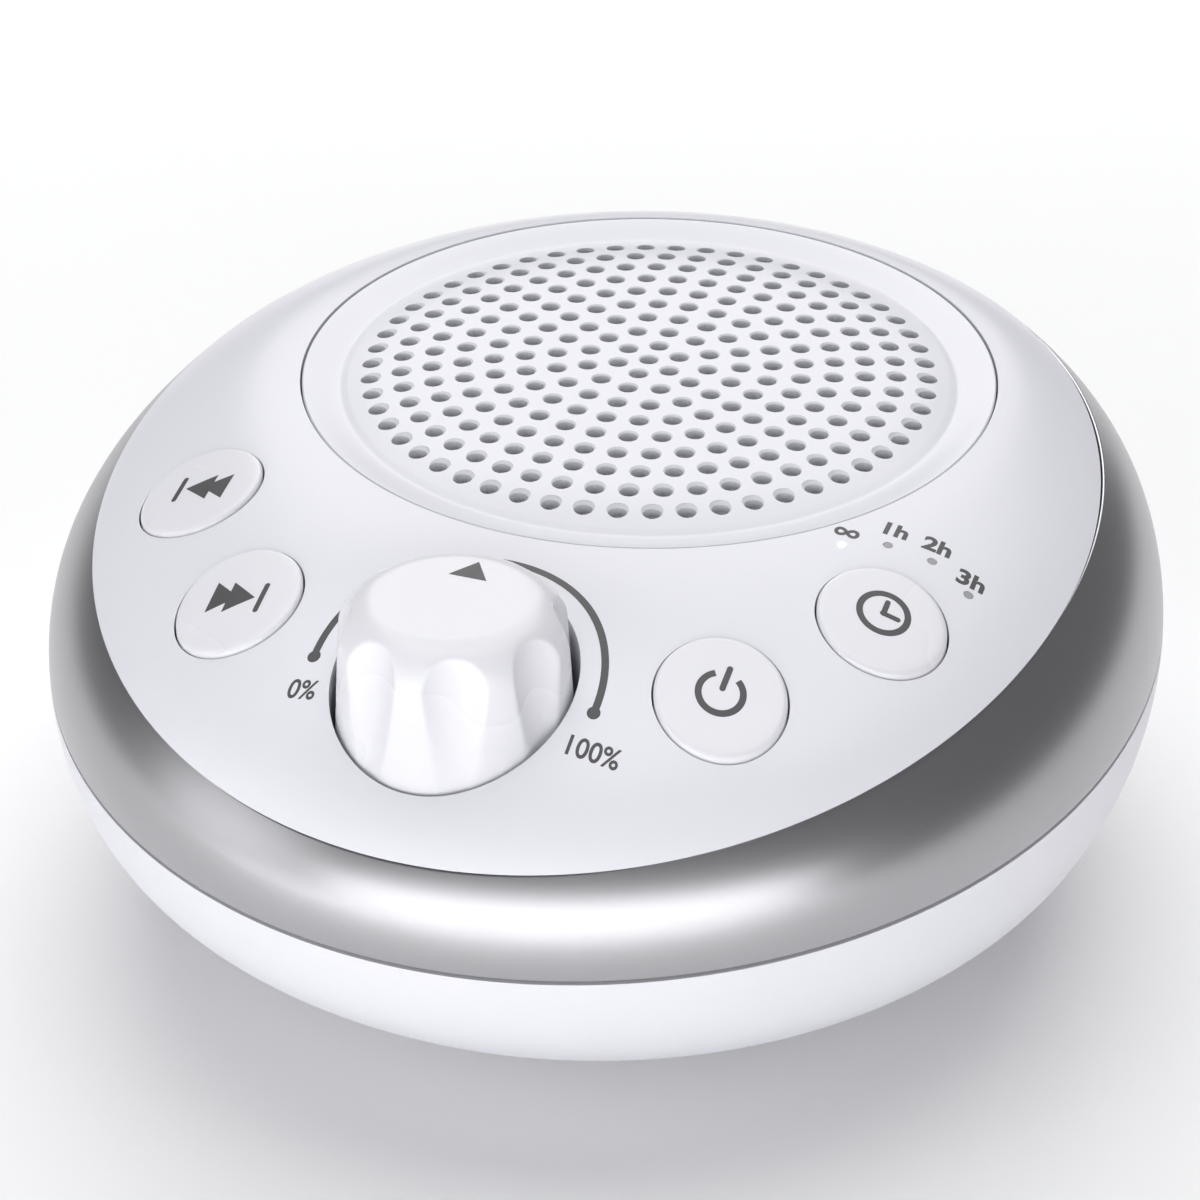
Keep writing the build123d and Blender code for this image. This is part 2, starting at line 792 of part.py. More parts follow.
# ---------------------------------------------------------------- boards
with BuildPart() as control_board:
    with BuildSketch(Plane.XY.offset(board_under_z)):
        with Locations((0, control_board_y)):
            Circle(control_board_radius)
        with Locations((0, grille_y)):
            Circle(speaker_cutout_radius, mode=Mode.SUBTRACT)
        with Locations((0, control_board_back + half_depth)):
            Rectangle(2 * body_width, body_depth, mode=Mode.SUBTRACT)
        with Locations(*post_places):
            Circle(post_radius + board_clearance, mode=Mode.SUBTRACT)
        with Locations(*boss_places):
            Circle(board_screw_radius + screw_fit, mode=Mode.SUBTRACT)
    extrude(amount=board_thickness)

control_board.part.label = "control_board"
export_step(control_board.part, "parts/control_board.step")

with BuildPart() as main_board:
    with BuildSketch(Plane.XY.offset(main_board_z)):
        Circle(main_board_radius)
        with Locations(Location((0, 0, 0), (0, 0, port_bearing))):
            with Locations((board_tab_reach / 2, 0)):
                Rectangle(board_tab_reach, 2 * port_spacing)
        with Locations(*post_places):
            Circle(well_post_radius + board_clearance, mode=Mode.SUBTRACT)
        with Locations(*standoff_places):
            Circle(board_screw_radius + screw_fit, mode=Mode.SUBTRACT)
    extrude(amount=board_thickness)

main_board.part.label = "main_board"
export_step(main_board.part, "parts/main_board.step")

with BuildPart() as sound_chip:
    with BuildSketch(Plane.XY.offset(main_board_top_z)):
        Rectangle(chip_width, chip_width)
    extrude(amount=chip_height)

sound_chip.part.label = "sound_chip"
export_step(sound_chip.part, "parts/sound_chip.step")

with BuildPart() as capacitors:
    with BuildSketch(Plane.XY.offset(main_board_top_z)):
        with Locations(*capacitor_places):
            Circle(capacitor_radius)
    extrude(amount=capacitor_height)

capacitors.part.label = "capacitors"
export_step(capacitors.part, "parts/capacitors.step")

with BuildPart() as board_screws:
    with BuildSketch(Plane.XY.offset(board_under_z)):
        with Locations(*boss_places):
            RegularPolygon(board_head_radius, 6)
    extrude(amount=-board_head_height)
    with BuildSketch(Plane.XY.offset(board_under_z)):
        with Locations(*boss_places):
            Circle(board_screw_radius)
    extrude(amount=board_screw_length)
    with BuildSketch(Plane.XY.offset(main_board_top_z)):
        with Locations(*standoff_places):
            RegularPolygon(board_head_radius, 6)
    extrude(amount=board_head_height)
    with BuildSketch(Plane.XY.offset(main_board_top_z)):
        with Locations(*standoff_places):
            Circle(board_screw_radius)
    extrude(amount=-board_screw_length)

board_screws.part.label = "board_screws"
export_step(board_screws.part, "parts/board_screws.step")

# ---------------------------------------------------------------- sockets in the port bay
jack_height = 2 * (port_z - main_board_top_z)
jack_plane = port_plane.offset(-wall - jack_gap)


def socket(offset, bore_radius, bore_depth):
    """A jack on the main board's tab, whose nozzle fills its hole in the floor of the port bay."""
    with BuildPart() as body:
        with BuildSketch(jack_plane):
            with Locations((offset, 0)):
                Rectangle(jack_width, jack_height)
        extrude(amount=-jack_depth)
        with BuildSketch(jack_plane):
            with Locations((offset, 0)):
                Circle(nozzle_radius)
        extrude(amount=wall + jack_gap)
        with BuildSketch(port_plane):
            with Locations((offset, 0)):
                Circle(bore_radius)
        extrude(amount=-bore_depth, mode=Mode.SUBTRACT)
    return body.part


with BuildPart() as power_inlet:
    add(socket(-port_spacing / 2, barrel_radius, barrel_depth))
    with BuildSketch(port_plane.offset(-barrel_depth)):
        with Locations((-port_spacing / 2, 0)):
            Circle(pin_radius)
    extrude(amount=barrel_depth)

power_inlet.part.label = "power_inlet"
export_step(power_inlet.part, "parts/power_inlet.step")

with BuildPart() as headphone_socket:
    add(socket(port_spacing / 2, plug_radius, plug_depth))

headphone_socket.part.label = "headphone_socket"
export_step(headphone_socket.part, "parts/headphone_socket.step")

# ---------------------------------------------------------------- speaker
with BuildPart() as speaker_gasket:
    with BuildSketch(Plane.XY.offset(speaker_z)):
        with Locations((0, grille_y)):
            Circle(speaker_radius)
            Circle(seat_bore, mode=Mode.SUBTRACT)
    extrude(amount=speaker_gasket_height)

speaker_gasket.part.label = "speaker_gasket"
export_step(speaker_gasket.part, "parts/speaker_gasket.step")

with BuildPart() as speaker_frame:
    with BuildSketch(grille_section):
        with BuildLine():
            Polyline(
                (basket_opening, speaker_z),
                (speaker_radius, speaker_z),
                (speaker_radius, flange_under_z),
                (basket_opening + basket_wall, flange_under_z),
                (basket_neck_radius, basket_floor_z),
                (throat_radius + coil_gap, basket_floor_z),
                (throat_radius + coil_gap, basket_floor_z + basket_wall),
                (basket_neck_radius - basket_wall, basket_floor_z + basket_wall),
                (basket_opening, flange_under_z),
                close=True,
            )
        make_face()
    revolve(axis=grille_axis)
    with BuildSketch(Plane.XY.offset(basket_floor_z + 2 * basket_wall)):
        with Locations((0, grille_y)):
            with PolarLocations((basket_opening + basket_neck_radius) / 2, basket_windows, start_angle=0):
                Rectangle(basket_opening, basket_opening - basket_wall)
    extrude(amount=basket_depth - 4 * basket_wall, mode=Mode.SUBTRACT)

speaker_frame.part.label = "speaker_frame"
export_step(speaker_frame.part, "parts/speaker_frame.step")

magnet_top_z = basket_floor_z - pole_plate
with BuildPart() as speaker_magnet:
    with BuildSketch(grille_section):
        with BuildLine():
            Polyline(
                (0, basket_floor_z + basket_wall),
                (throat_radius - cone_thickness - coil_gap, basket_floor_z + basket_wall),
                (throat_radius - cone_thickness - coil_gap, magnet_top_z - magnet_height),
                (throat_radius + coil_gap, magnet_top_z - magnet_height),
                (throat_radius + coil_gap, basket_floor_z),
                (magnet_radius, basket_floor_z),
                (magnet_radius, magnet_top_z - magnet_height),
                (magnet_radius - basket_wall, magnet_top_z - magnet_height - pole_plate),
                (0, magnet_top_z - magnet_height - pole_plate),
                close=True,
            )
        make_face()
    revolve(axis=grille_axis)

speaker_magnet.part.label = "speaker_magnet"
export_step(speaker_magnet.part, "parts/speaker_magnet.step")

cone_rim_z = flange_under_z + cone_thickness
throat_z = cone_rim_z - cone_depth
with BuildPart() as speaker_cone:
    with BuildSketch(grille_section):
        with BuildLine():
            Polyline(
                (cone_radius, cone_rim_z),
                (cone_radius, cone_rim_z - cone_thickness),
                (throat_radius, throat_z - cone_thickness),
                (throat_radius, magnet_top_z),
                (throat_radius - cone_thickness, magnet_top_z),
                (throat_radius - cone_thickness, throat_z),
                (throat_radius, throat_z),
                close=True,
            )
        make_face()
    revolve(axis=grille_axis)

speaker_cone.part.label = "speaker_cone"
export_step(speaker_cone.part, "parts/speaker_cone.step")

surround_slope = (basket_opening - cone_radius) / 4
with BuildPart() as speaker_surround:
    with BuildSketch(grille_section):
        with BuildLine():
            Polyline(
                (cone_radius - 2 * cone_thickness, cone_rim_z),
                (cone_radius - 2 * cone_thickness, cone_rim_z + cone_thickness),
                (cone_radius, cone_rim_z + cone_thickness),
                (cone_radius + surround_slope, cone_rim_z + surround_height),
                (basket_opening - surround_slope, cone_rim_z + surround_height),
                (basket_opening, cone_rim_z + cone_thickness),
                (basket_opening, cone_rim_z),
                close=True,
            )
        make_face()
    revolve(axis=grille_axis)

speaker_surround.part.label = "speaker_surround"
export_step(speaker_surround.part, "parts/speaker_surround.step")

with BuildPart() as speaker_dust_cap:
    with BuildSketch(grille_section):
        with BuildLine():
            Polyline(
                (0, throat_z),
                (throat_radius, throat_z),
                (throat_radius - dust_cap_rise, throat_z + dust_cap_rise),
                (0, throat_z + dust_cap_rise),
                close=True,
            )
        make_face()
    revolve(axis=grille_axis)

speaker_dust_cap.part.label = "speaker_dust_cap"
export_step(speaker_dust_cap.part, "parts/speaker_dust_cap.step")

with BuildPart() as speaker_screws:
    with BuildSketch(Plane.XY.offset(flange_under_z)):
        with Locations(*speaker_screw_places):
            Circle(washer_radius)
    extrude(amount=-washer_height)
    with BuildSketch(Plane.XY.offset(flange_under_z)):
        with Locations(*speaker_screw_places):
            Circle(board_screw_radius)
    extrude(amount=speaker_screw_length)

speaker_screws.part.label = "speaker_screws"
export_step(speaker_screws.part, "parts/speaker_screws.step")

# ---------------------------------------------------------------- housing screws and feet
with BuildPart() as housing_screws:
    with BuildSketch(Plane.XY.offset(head_seat_z)):
        with Locations(*post_places):
            RegularPolygon(housing_head_radius, 6)
    extrude(amount=-housing_head_height)
    with BuildSketch(Plane.XY.offset(head_seat_z)):
        with Locations(*post_places):
            Circle(housing_screw_radius)
    extrude(amount=screw_web + housing_screw_length)

housing_screws.part.label = "housing_screws"
export_step(housing_screws.part, "parts/housing_screws.step")

with BuildPart() as rubber_feet:
    with BuildSketch(Plane.XY):
        with Locations(*foot_places):
            Circle(foot_radius)
    extrude(amount=foot_thickness)

rubber_feet.part.label = "rubber_feet"
export_step(rubber_feet.part, "parts/rubber_feet.step")
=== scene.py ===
# %% [markdown]
# # A white noise sound machine, dressed for its portrait
# The machine is a low round body in three moulded shells. The solids of the construction model
# fix every size, and this lesson gives them smooth surfaces, printed signs and real finishes.
# First the parts of the construction model are read in, then come the sizes of the machine.

from math import cos, pi, radians, sin, sqrt, tan

import bmesh
import bpy
import numpy as np
from mathutils import Matrix, Vector
from mathutils.bvhtree import BVHTree


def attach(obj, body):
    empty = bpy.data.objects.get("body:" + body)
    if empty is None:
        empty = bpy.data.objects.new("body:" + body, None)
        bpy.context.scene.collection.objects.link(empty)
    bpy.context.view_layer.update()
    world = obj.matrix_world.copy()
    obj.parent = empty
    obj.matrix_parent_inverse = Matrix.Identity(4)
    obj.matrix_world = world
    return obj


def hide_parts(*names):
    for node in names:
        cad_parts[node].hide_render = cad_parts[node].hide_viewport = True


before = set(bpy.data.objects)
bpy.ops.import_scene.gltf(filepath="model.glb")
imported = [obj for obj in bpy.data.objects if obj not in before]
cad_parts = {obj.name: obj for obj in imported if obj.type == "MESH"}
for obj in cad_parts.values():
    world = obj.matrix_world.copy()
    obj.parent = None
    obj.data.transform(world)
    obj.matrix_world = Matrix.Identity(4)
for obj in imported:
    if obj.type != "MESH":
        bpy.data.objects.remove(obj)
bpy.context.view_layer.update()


mm = 0.001

# %% [markdown]
# ## Sizes of the machine
# The outer form is a stack of slanted ellipses, each lower at the front than at the back. The
# numbers are the ones that the solids were made from, in millimetres.

# %% Sizes
half_width = 59.5
half_depth = 62.2
foot_stand = 1.0
form_height = 50.45
wall = 2.2
reveal = 0.3
form_top = foot_stand + form_height
grille_y = 13.1
grille_opening = 37.6
knob_y = -43.2
knob_bore = 12.15
button_radius, button_gap = 6.43, 0.2
button_places = {
    "previous": (-36.6, -22.4),
    "next": (-25.2, -37.9),
    "power": (25.2, -37.9),
    "timer": (36.6, -22.4),
}
timer_x, timer_y = button_places["timer"]
light_angles = (129.5, 103.5, 78.0, 51.0)
light_reach = 10.4
cut_shares = {
    "rest": (-0.611, 0.000, 0.547, 0.000, 0.605),
    "sill": (-0.764, 0.083, 0.732, 0.095, 0.773),
    "flank": (-0.878, 0.186, 0.884, 0.238, 0.904),
    "belly": (-0.965, 0.317, 0.971, 0.432, 0.975),
    "waist": (-0.998, 0.466, 0.998, 0.640, 1.000),
    "shoulder": (-0.979, 0.626, 0.971, 0.836, 0.973),
    "brow": (-0.921, 0.747, 0.942, 0.920, 0.926),
    "crest": (-0.820, 0.840, 0.905, 0.961, 0.861),
}


def cut_sizes(name):
    """Front y, front z, back y, back z and half width of one slanted cut."""
    front, front_rise, back, back_rise, side = cut_shares[name]
    return np.array([
        front * half_depth,
        foot_stand + front_rise * form_height,
        back * half_depth,
        foot_stand + back_rise * form_height,
        side * half_width,
    ])


rim_cut = np.array([grille_y - grille_opening, form_top, grille_y + grille_opening, form_top, grille_opening])


def toward_rim(across, up):
    """A cut between the crest and the rim of the grille."""
    share = np.array([across, up, across, up, across])
    return cut_sizes("crest") * (1 - share) + rim_cut * share


body_cuts = [cut_sizes(n) for n in ("rest", "sill", "flank", "belly", "waist", "shoulder", "crest")]
panel_cuts = [cut_sizes(n) for n in ("shoulder", "brow", "crest")]
panel_cuts += [toward_rim(0.33, 0.48), toward_rim(0.68, 0.83), rim_cut]
print("cuts through the body", len(body_cuts), "and through the panel", len(panel_cuts))

# %% [markdown]
# ## A smooth surface through the cuts
# A lofted surface runs smoothly from one cut to the next. Each of the five numbers of a cut is
# led through its values by a natural cubic curve, which is what a bent spline batten does. One
# call then gives any point of the surface from its height along the loft and its compass angle.

# %% Smooth form
def batten(knots, values, places):
    """A natural cubic curve through values at knots, read at places."""
    steps = np.diff(knots)
    count = len(knots)
    system = np.eye(count)
    right = np.zeros((count, values.shape[1]))
    for i in range(1, count - 1):
        system[i, i - 1 : i + 2] = steps[i - 1], 2 * (steps[i - 1] + steps[i]), steps[i]
        right[i] = 6 * ((values[i + 1] - values[i]) / steps[i] - (values[i] - values[i - 1]) / steps[i - 1])
    bend = np.linalg.solve(system, right)
    spot = np.clip(np.searchsorted(knots, places) - 1, 0, count - 2)
    span = steps[spot][:, None]
    after = (places - knots[spot])[:, None]
    before = span - after
    return (
        (bend[spot] * before**3 + bend[spot + 1] * after**3) / (6 * span)
        + (values[spot] / span - bend[spot] * span / 6) * before
        + (values[spot + 1] / span - bend[spot + 1] * span / 6) * after
    )


class SmoothForm:
    """The surface through slanted elliptical cuts, drawn in by inset."""

    def __init__(self, cuts, inset=0.0):
        along, across = 1 - inset / half_depth, 1 - inset / half_width
        squeeze = (form_height - 2 * inset) / form_height
        low = foot_stand + inset
        self.cuts = np.array([
            [c[0] * along, low + (c[1] - foot_stand) * squeeze, c[2] * along,
             low + (c[3] - foot_stand) * squeeze, c[4] * across]
            for c in cuts
        ])
        runs = np.sqrt((np.diff(self.cuts, axis=0) ** 2).sum(axis=1))
        self.knots = np.concatenate([[0], np.cumsum(runs)]) / runs.sum()

    def at(self, height, angle):
        """Points at shares of the loft's height and at compass angles, 0 at the back."""
        front_y, front_z, back_y, back_z, side = batten(self.knots, self.cuts, height).T
        x = side * np.sin(angle)
        y = (front_y + back_y) / 2 + (back_y - front_y) / 2 * np.cos(angle)
        z = (front_z + back_z) / 2 + (back_z - front_z) / 2 * np.cos(angle)
        return np.stack([x, y, z], axis=1)

    def where(self, test, angle):
        """The height along the loft at which test turns from negative to positive."""
        low, high = np.zeros(len(angle)), np.ones(len(angle))
        for _ in range(40):
            middle = (low + high) / 2
            above = test(self.at(middle, angle)) > 0
            high = np.where(above, middle, high)
            low = np.where(above, low, middle)
        return (low + high) / 2


edge_middle, edge_low, edge_radius = 55.783, -454.600, 503.202
band_rise, band_slope = 30.25, tan(radians(4.35))


def over_band_edge(lift):
    """Above zero over the joint of base and band, raised by lift."""
    return lambda p: p[:, 2] - (band_rise + p[:, 1] * band_slope + lift)


def over_panel_edge(lift):
    """Above zero over the joint of band and panel, raised by lift."""
    return lambda p: p[:, 2] - (edge_low + np.sqrt(edge_radius**2 - (p[:, 1] - edge_middle) ** 2) + lift)


columns = 240
compass = np.arange(columns) * 2 * pi / columns
body_outer, body_inner = SmoothForm(body_cuts), SmoothForm(body_cuts, wall)
panel_outer, panel_inner = SmoothForm(panel_cuts), SmoothForm(panel_cuts, wall)
print("columns round each shell", columns)

# %% [markdown]
# ## Weaving rings into a skin
# A moulded shell is a skin with a little thickness, so one closed sheet can follow it: up the
# outside, over the rim and down the inside. A grid from Blender's own operator gives the
# faces, each of its rows is laid on one ring of the shell, and merging closes the last column.

# %% Weaving
def ring(radius, z, x=0.0, y=0.0, count=columns):
    """A level ring."""
    angle = np.arange(count) * 2 * pi / count
    level = np.full(count, float(z))
    return np.stack([x + radius * np.sin(angle), y + radius * np.cos(angle), level], axis=1)


def woven(rows):
    """A closed bmesh over rings that have the same number of points, in millimetres."""
    count = len(rows[0])
    bm = bmesh.new()
    bmesh.ops.create_grid(bm, x_segments=count, y_segments=len(rows) - 1, size=1)
    bm.verts.ensure_lookup_table()
    places = np.concatenate([np.concatenate([row, row[:1]]) for row in rows]) * mm
    for vert, place in zip(bm.verts, places):
        vert.co = place
    bmesh.ops.remove_doubles(bm, verts=bm.verts, dist=2e-7)
    bmesh.ops.recalc_face_normals(bm, faces=bm.faces)
    return bm


def piece(name, bm, smooth_angle=32):
    """A finished mesh object, shaded smooth up to an angle."""
    mesh = bpy.data.meshes.new(name)
    bm.to_mesh(mesh)
    bm.free()
    mesh.shade_smooth()
    mesh.set_sharp_from_angle(angle=radians(smooth_angle))
    made = bpy.data.objects.new(name, mesh)
    bpy.context.scene.collection.objects.link(made)
    return made


def carve(made, tool, how):
    """Joins, cuts or keeps what two closed pieces share, and applies it."""
    change = made.modifiers.new("carve", "BOOLEAN")
    change.operation = how
    change.solver = "EXACT"
    change.object = tool
    settle(made)
    bpy.data.objects.remove(tool)
    return made


def settle(made, smooth_angle=32):
    """Applies the modifiers of a piece to its mesh."""
    ready = made.evaluated_get(bpy.context.evaluated_depsgraph_get())
    mesh = bpy.data.meshes.new_from_object(ready)
    made.modifiers.clear()
    made.data = mesh
    mesh.name = made.name
    mesh.shade_smooth()
    mesh.set_sharp_from_angle(angle=radians(smooth_angle))


def round_edges(made, width, segments=2, angle=40):
    """Softens sharp edges, as a mould does."""
    bevel = made.modifiers.new("soft edges", "BEVEL")
    bevel.width = width * mm
    bevel.segments = segments
    bevel.limit_method = "ANGLE"
    bevel.angle_limit = radians(angle)
    bevel.harden_normals = True


def pegs(places, radius, low, high, count=48):
    """Round pegs, as one closed tool for cutting holes."""
    bm = bmesh.new()
    for x, y in places:
        bmesh.ops.create_cone(
            bm, cap_ends=True, segments=count, radius1=radius * mm, radius2=radius * mm,
            depth=(high - low) * mm, matrix=Matrix.Translation(Vector((x, y, (low + high) / 2)) * mm),
        )
    return piece("pegs", bm)


# %% [markdown]
# ## The base shell
# The base is a bowl with a flat bottom. Its rim stops just under the band and leaves a thin dark
# line. Rings across the flat bottom keep its shading even round the feet and the screw wells.

# %% Base shell
def loft_rows(form, low, high, count):
    """Rings on a form between two heights, which may change round the compass."""
    shares = np.linspace(0, 1, count)
    return [form.at(low + (high - low) * share, compass) for share in shares]


nothing = np.zeros(columns)
base_top = body_outer.where(over_band_edge(-reveal), compass)
base_top_inner = body_inner.where(over_band_edge(-reveal), compass)
rest_middle = (body_cuts[0][0] + body_cuts[0][2]) / 2
rest_ring, rest_centre = body_outer.at(nothing, compass), ring(0, foot_stand, y=rest_middle)
base_rows = [rest_centre + (rest_ring - rest_centre) * share for share in (0, 0.25, 0.5, 0.7, 0.85, 0.96)]
base_rows += loft_rows(body_outer, nothing, base_top, 40)
base_rows += loft_rows(body_inner, nothing, base_top_inner, 24)[::-1]
base_rows += [ring(0, foot_stand + wall, y=rest_middle)]
base = piece("base_shell_skin", woven(base_rows))

port_bearing, port_floor, port_z = radians(20.0), 55.4, 19.0
port_turn = Matrix.Rotation(port_bearing, 4, "Z") @ Matrix.Translation(Vector((port_floor, 0, port_z)) * mm)


def bay_block(width, height, corner, start, end):
    """A block with round corners that points out of the bay, for joining or cutting."""
    bm = bmesh.new()
    bmesh.ops.create_cube(bm, size=1)
    bmesh.ops.scale(bm, vec=Vector((end - start, width, height)) * mm, verts=bm.verts)
    bmesh.ops.translate(bm, vec=Vector(((start + end) / 2, 0, 0)) * mm, verts=bm.verts)
    long_edges = [e for e in bm.edges if abs((e.verts[0].co - e.verts[1].co).x) > 1e-5]
    bmesh.ops.bevel(
        bm, geom=long_edges, offset=corner * mm, offset_type="OFFSET", segments=8,
        profile=0.5, affect="EDGES", material=-1,
    )
    bmesh.ops.transform(bm, matrix=port_turn, verts=bm.verts)
    return piece("bay_block", bm)


body_solid_rows = [ring(0, foot_stand + 0.4, y=rest_middle)]
body_solid_rows += loft_rows(SmoothForm(body_cuts, 0.4), nothing, nothing + 1, 30)
body_solid_rows += [ring(0, 44, y=0.0)]
bay_width, bay_height, bay_corner = 34.0, 17.0, 3.0
lining = bay_block(bay_width + 2 * wall, bay_height + 2 * wall, bay_corner + wall, -wall, 12.0)
carve(lining, piece("body_solid", woven(body_solid_rows)), "INTERSECT")
carve(base, lining, "UNION")
carve(base, bay_block(bay_width, bay_height, bay_corner, 0.0, 16.0), "DIFFERENCE")

port_offset, port_radius = 6.5, 3.3
port_holes = bmesh.new()
for offset in (-port_offset, port_offset):
    bmesh.ops.create_cone(
        port_holes, cap_ends=True, segments=48, radius1=port_radius * mm, radius2=port_radius * mm,
        depth=9 * mm,
        matrix=port_turn @ Matrix.Translation((0, offset * mm, 0)) @ Matrix.Rotation(pi / 2, 4, "Y"),
    )
carve(base, piece("port_holes", port_holes), "DIFFERENCE")
foot_places = [(29, -2), (0, 27), (-29, -2), (0, -31)]
post_places = [(-22, -25), (22, -25), (-38, 33), (38, 33)]
foot_seat_radius, post_radius, screw_well_radius = 5.05, 3.9, 2.5
post_foot, post_top, screw_well_depth = 2.2, 20.0, 17.0
well_posts = pegs(post_places, post_radius, post_foot, post_top)
carve(well_posts, piece("body_solid", woven(body_solid_rows)), "INTERSECT")
carve(base, well_posts, "UNION")
carve(base, pegs(foot_places, foot_seat_radius, -1.0, 2.0), "DIFFERENCE")
carve(base, pegs(post_places, screw_well_radius, -1.0, screw_well_depth), "DIFFERENCE")
round_edges(base, 0.18)
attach(base, "housing")
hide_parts("base_shell")
print("base shell faces", len(base.data.polygons))

# %% [markdown]
# ## The metallic band
# The band is a closed ring between two joints that run at different slopes, so it is low at the
# front and tall at the side. Its rows slide between the two joints.

# %% Metallic band
band_low = body_outer.where(over_band_edge(0), compass)
band_high = body_outer.where(over_panel_edge(0), compass)
band_low_inner = body_inner.where(over_band_edge(0), compass)
band_high_inner = body_inner.where(over_panel_edge(-1.2), compass)
band_rows = loft_rows(body_outer, band_low, band_high, 28)
band_rows += loft_rows(body_inner, band_low_inner, band_high_inner, 14)[::-1]
band = piece("trim_band_skin", woven(band_rows + band_rows[:1]))
round_edges(band, 0.22)
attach(band, "housing")
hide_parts("trim_band")
print("band faces", len(band.data.polygons))

# %% [markdown]
# ## The top panel
# The panel is one skin too: down from the rim of the grille over the slope to its edge, back up
# the inside, and round the ledge that carries the grille. The holes for the knob, the keys and
# the lights are cut afterwards, and the bevel rounds every rim as a mould would.

# %% Top panel
def beyond(radius):
    """Above zero once a point of the form is nearer to the grille's axis than radius."""
    return lambda p: radius - np.hypot(p[:, 0], p[:, 1] - grille_y)


panel_low = panel_outer.where(over_panel_edge(reveal), compass)
panel_low_inner = panel_inner.where(over_panel_edge(reveal), compass)
ledge_outer = 39.4
panel_high_inner = panel_inner.where(beyond(ledge_outer), compass)
seat_z, seat_under_z, seat_bore = 48.35, 46.55, 34.0


def around_grille(radius, z, like):
    """A level ring round the grille's axis, whose points face those of another ring."""
    angle = np.arctan2(like[:, 0], like[:, 1] - grille_y)
    level = np.full(columns, float(z))
    return np.stack([radius * np.sin(angle), grille_y + radius * np.cos(angle), level], axis=1)


rim_like = panel_outer.at(nothing + 1, compass)
panel_rows = loft_rows(panel_outer, panel_low, nothing + 1, 64)
panel_rows += [around_grille(grille_opening, z, rim_like) for z in (51.1, 50.0, seat_z)]
panel_rows += [around_grille(seat_bore, z, rim_like) for z in (seat_z, seat_under_z)]
panel_rows += [around_grille(ledge_outer, seat_under_z, rim_like)]
panel_rows += loft_rows(panel_inner, panel_low_inner, panel_high_inner, 20)[::-1]
panel = piece("top_panel_skin", woven(panel_rows + panel_rows[:1]))

panel_form = woven(loft_rows(panel_outer, nothing, nothing + 1, 90) + [ring(0, form_top, y=grille_y)])
panel_tree = BVHTree.FromBMesh(panel_form)
panel_form.free()


def panel_height(x, y):
    """The height of the panel's surface over a point of the plan, in millimetres."""
    hit = panel_tree.ray_cast(Vector((x * mm, y * mm, 1)), Vector((0, 0, -1)))[0]
    return hit.z / mm


def draped_rows(x, y, outline, count=96):
    """Rings round a point, whose heights are told from the panel's surface."""
    rows = []
    for radius, height in outline:
        row = ring(radius, 0, x, y, count)
        row[:, 2] = [panel_height(px, py) + height for px, py in row[:, :2]]
        rows.append(row)
    return rows


well_columns, well_outer, well_inner, well_hole = 96, 13.45, 11.9, 3.6
well_floor, well_under = 37.0, 35.6
well_rim = draped_rows(0, knob_y, [(well_outer, -0.9), (well_inner, -0.9)], well_columns)
well_turns = [ring(r, z, y=knob_y, count=well_columns) for r, z in (
    (well_outer, well_under), (well_inner, well_floor), (well_hole, well_floor), (well_hole, well_under),
)]
well_rows = well_turns[:1] + well_rim + well_turns[1:] + well_turns[:1]
carve(panel, piece("knob_well", woven(well_rows)), "UNION")
carve(panel, pegs([(0, knob_y)], knob_bore, well_floor, 60.0, well_columns), "DIFFERENCE")
carve(panel, pegs(button_places.values(), button_radius + button_gap, 30.0, 60.0, 96), "DIFFERENCE")
light_places = [
    (timer_x + light_reach * cos(radians(a)), timer_y + light_reach * sin(radians(a)))
    for a in light_angles
]
light_radius = 0.5
carve(panel, pegs(light_places, light_radius, 30.0, 60.0, 24), "DIFFERENCE")
round_edges(panel, 0.25)
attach(panel, "housing")
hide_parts("top_panel")
print("panel faces", len(panel.data.polygons))

# %% [markdown]
# ## The perforated grille
# The speaker is covered by a shallow dome with rings of round holes inside a sloping border. A
# dense plate is spun from rings, all the holes are cut in one go by pegs with flared ends, which
# leaves each rim slightly countersunk, and the plate is domed by its own profile.

# %% Speaker grille
hole_pitch, hole_radius, hole_rings = 3.35, 0.97, 9
hole_reach, hole_flare = 2.2, 0.32
dome_knots = np.array([0, 3.35, 6.7, 10.05, 13.4, 16.75, 20.1, 23.45, 26.8, 30.15, 31.9, 33.53])
dome_rise = np.array([52.65, 52.63, 52.62, 52.58, 52.53, 52.45, 52.32, 52.12, 51.80, 51.25, 50.83, 50.33])


def dome(radius):
    """The height of the dome over a radius."""
    return float(batten(dome_knots, dome_rise[:, None], np.array([radius]))[0, 0])


plate_radii = list(np.arange(0.0, 32.4, 1.117))
grille_radius, grille_plate = 37.4, 1.2
grille_columns = 192
grille_rows = [ring(r, dome(r), y=grille_y, count=grille_columns) for r in plate_radii]
grille_rows += [ring(r, z, y=grille_y, count=grille_columns) for r, z in (
    (32.7, 50.62), (33.2, 50.42), (33.53, 50.36), (33.9, 50.42), (35.6, 50.92), (36.9, 51.30), (37.25, 51.36),
    (grille_radius, 51.22), (grille_radius, 50.0), (grille_radius, 48.75), (36.2, 48.75), (36.2, 49.6),
    (33.0, 49.2),
)]
grille_rows += [
    ring(r, dome(r) - grille_plate, y=grille_y, count=grille_columns) for r in plate_radii[::-1]
]
grille = piece("speaker_grille_plate", woven(grille_rows))
hole_cutter = bmesh.new()
hole_places = [(0.0, grille_y)]
for number in range(1, hole_rings + 1):
    for step in range(6 * number):
        turn = 2 * pi * step / (6 * number)
        hole_places.append((number * hole_pitch * sin(turn), grille_y + number * hole_pitch * cos(turn)))
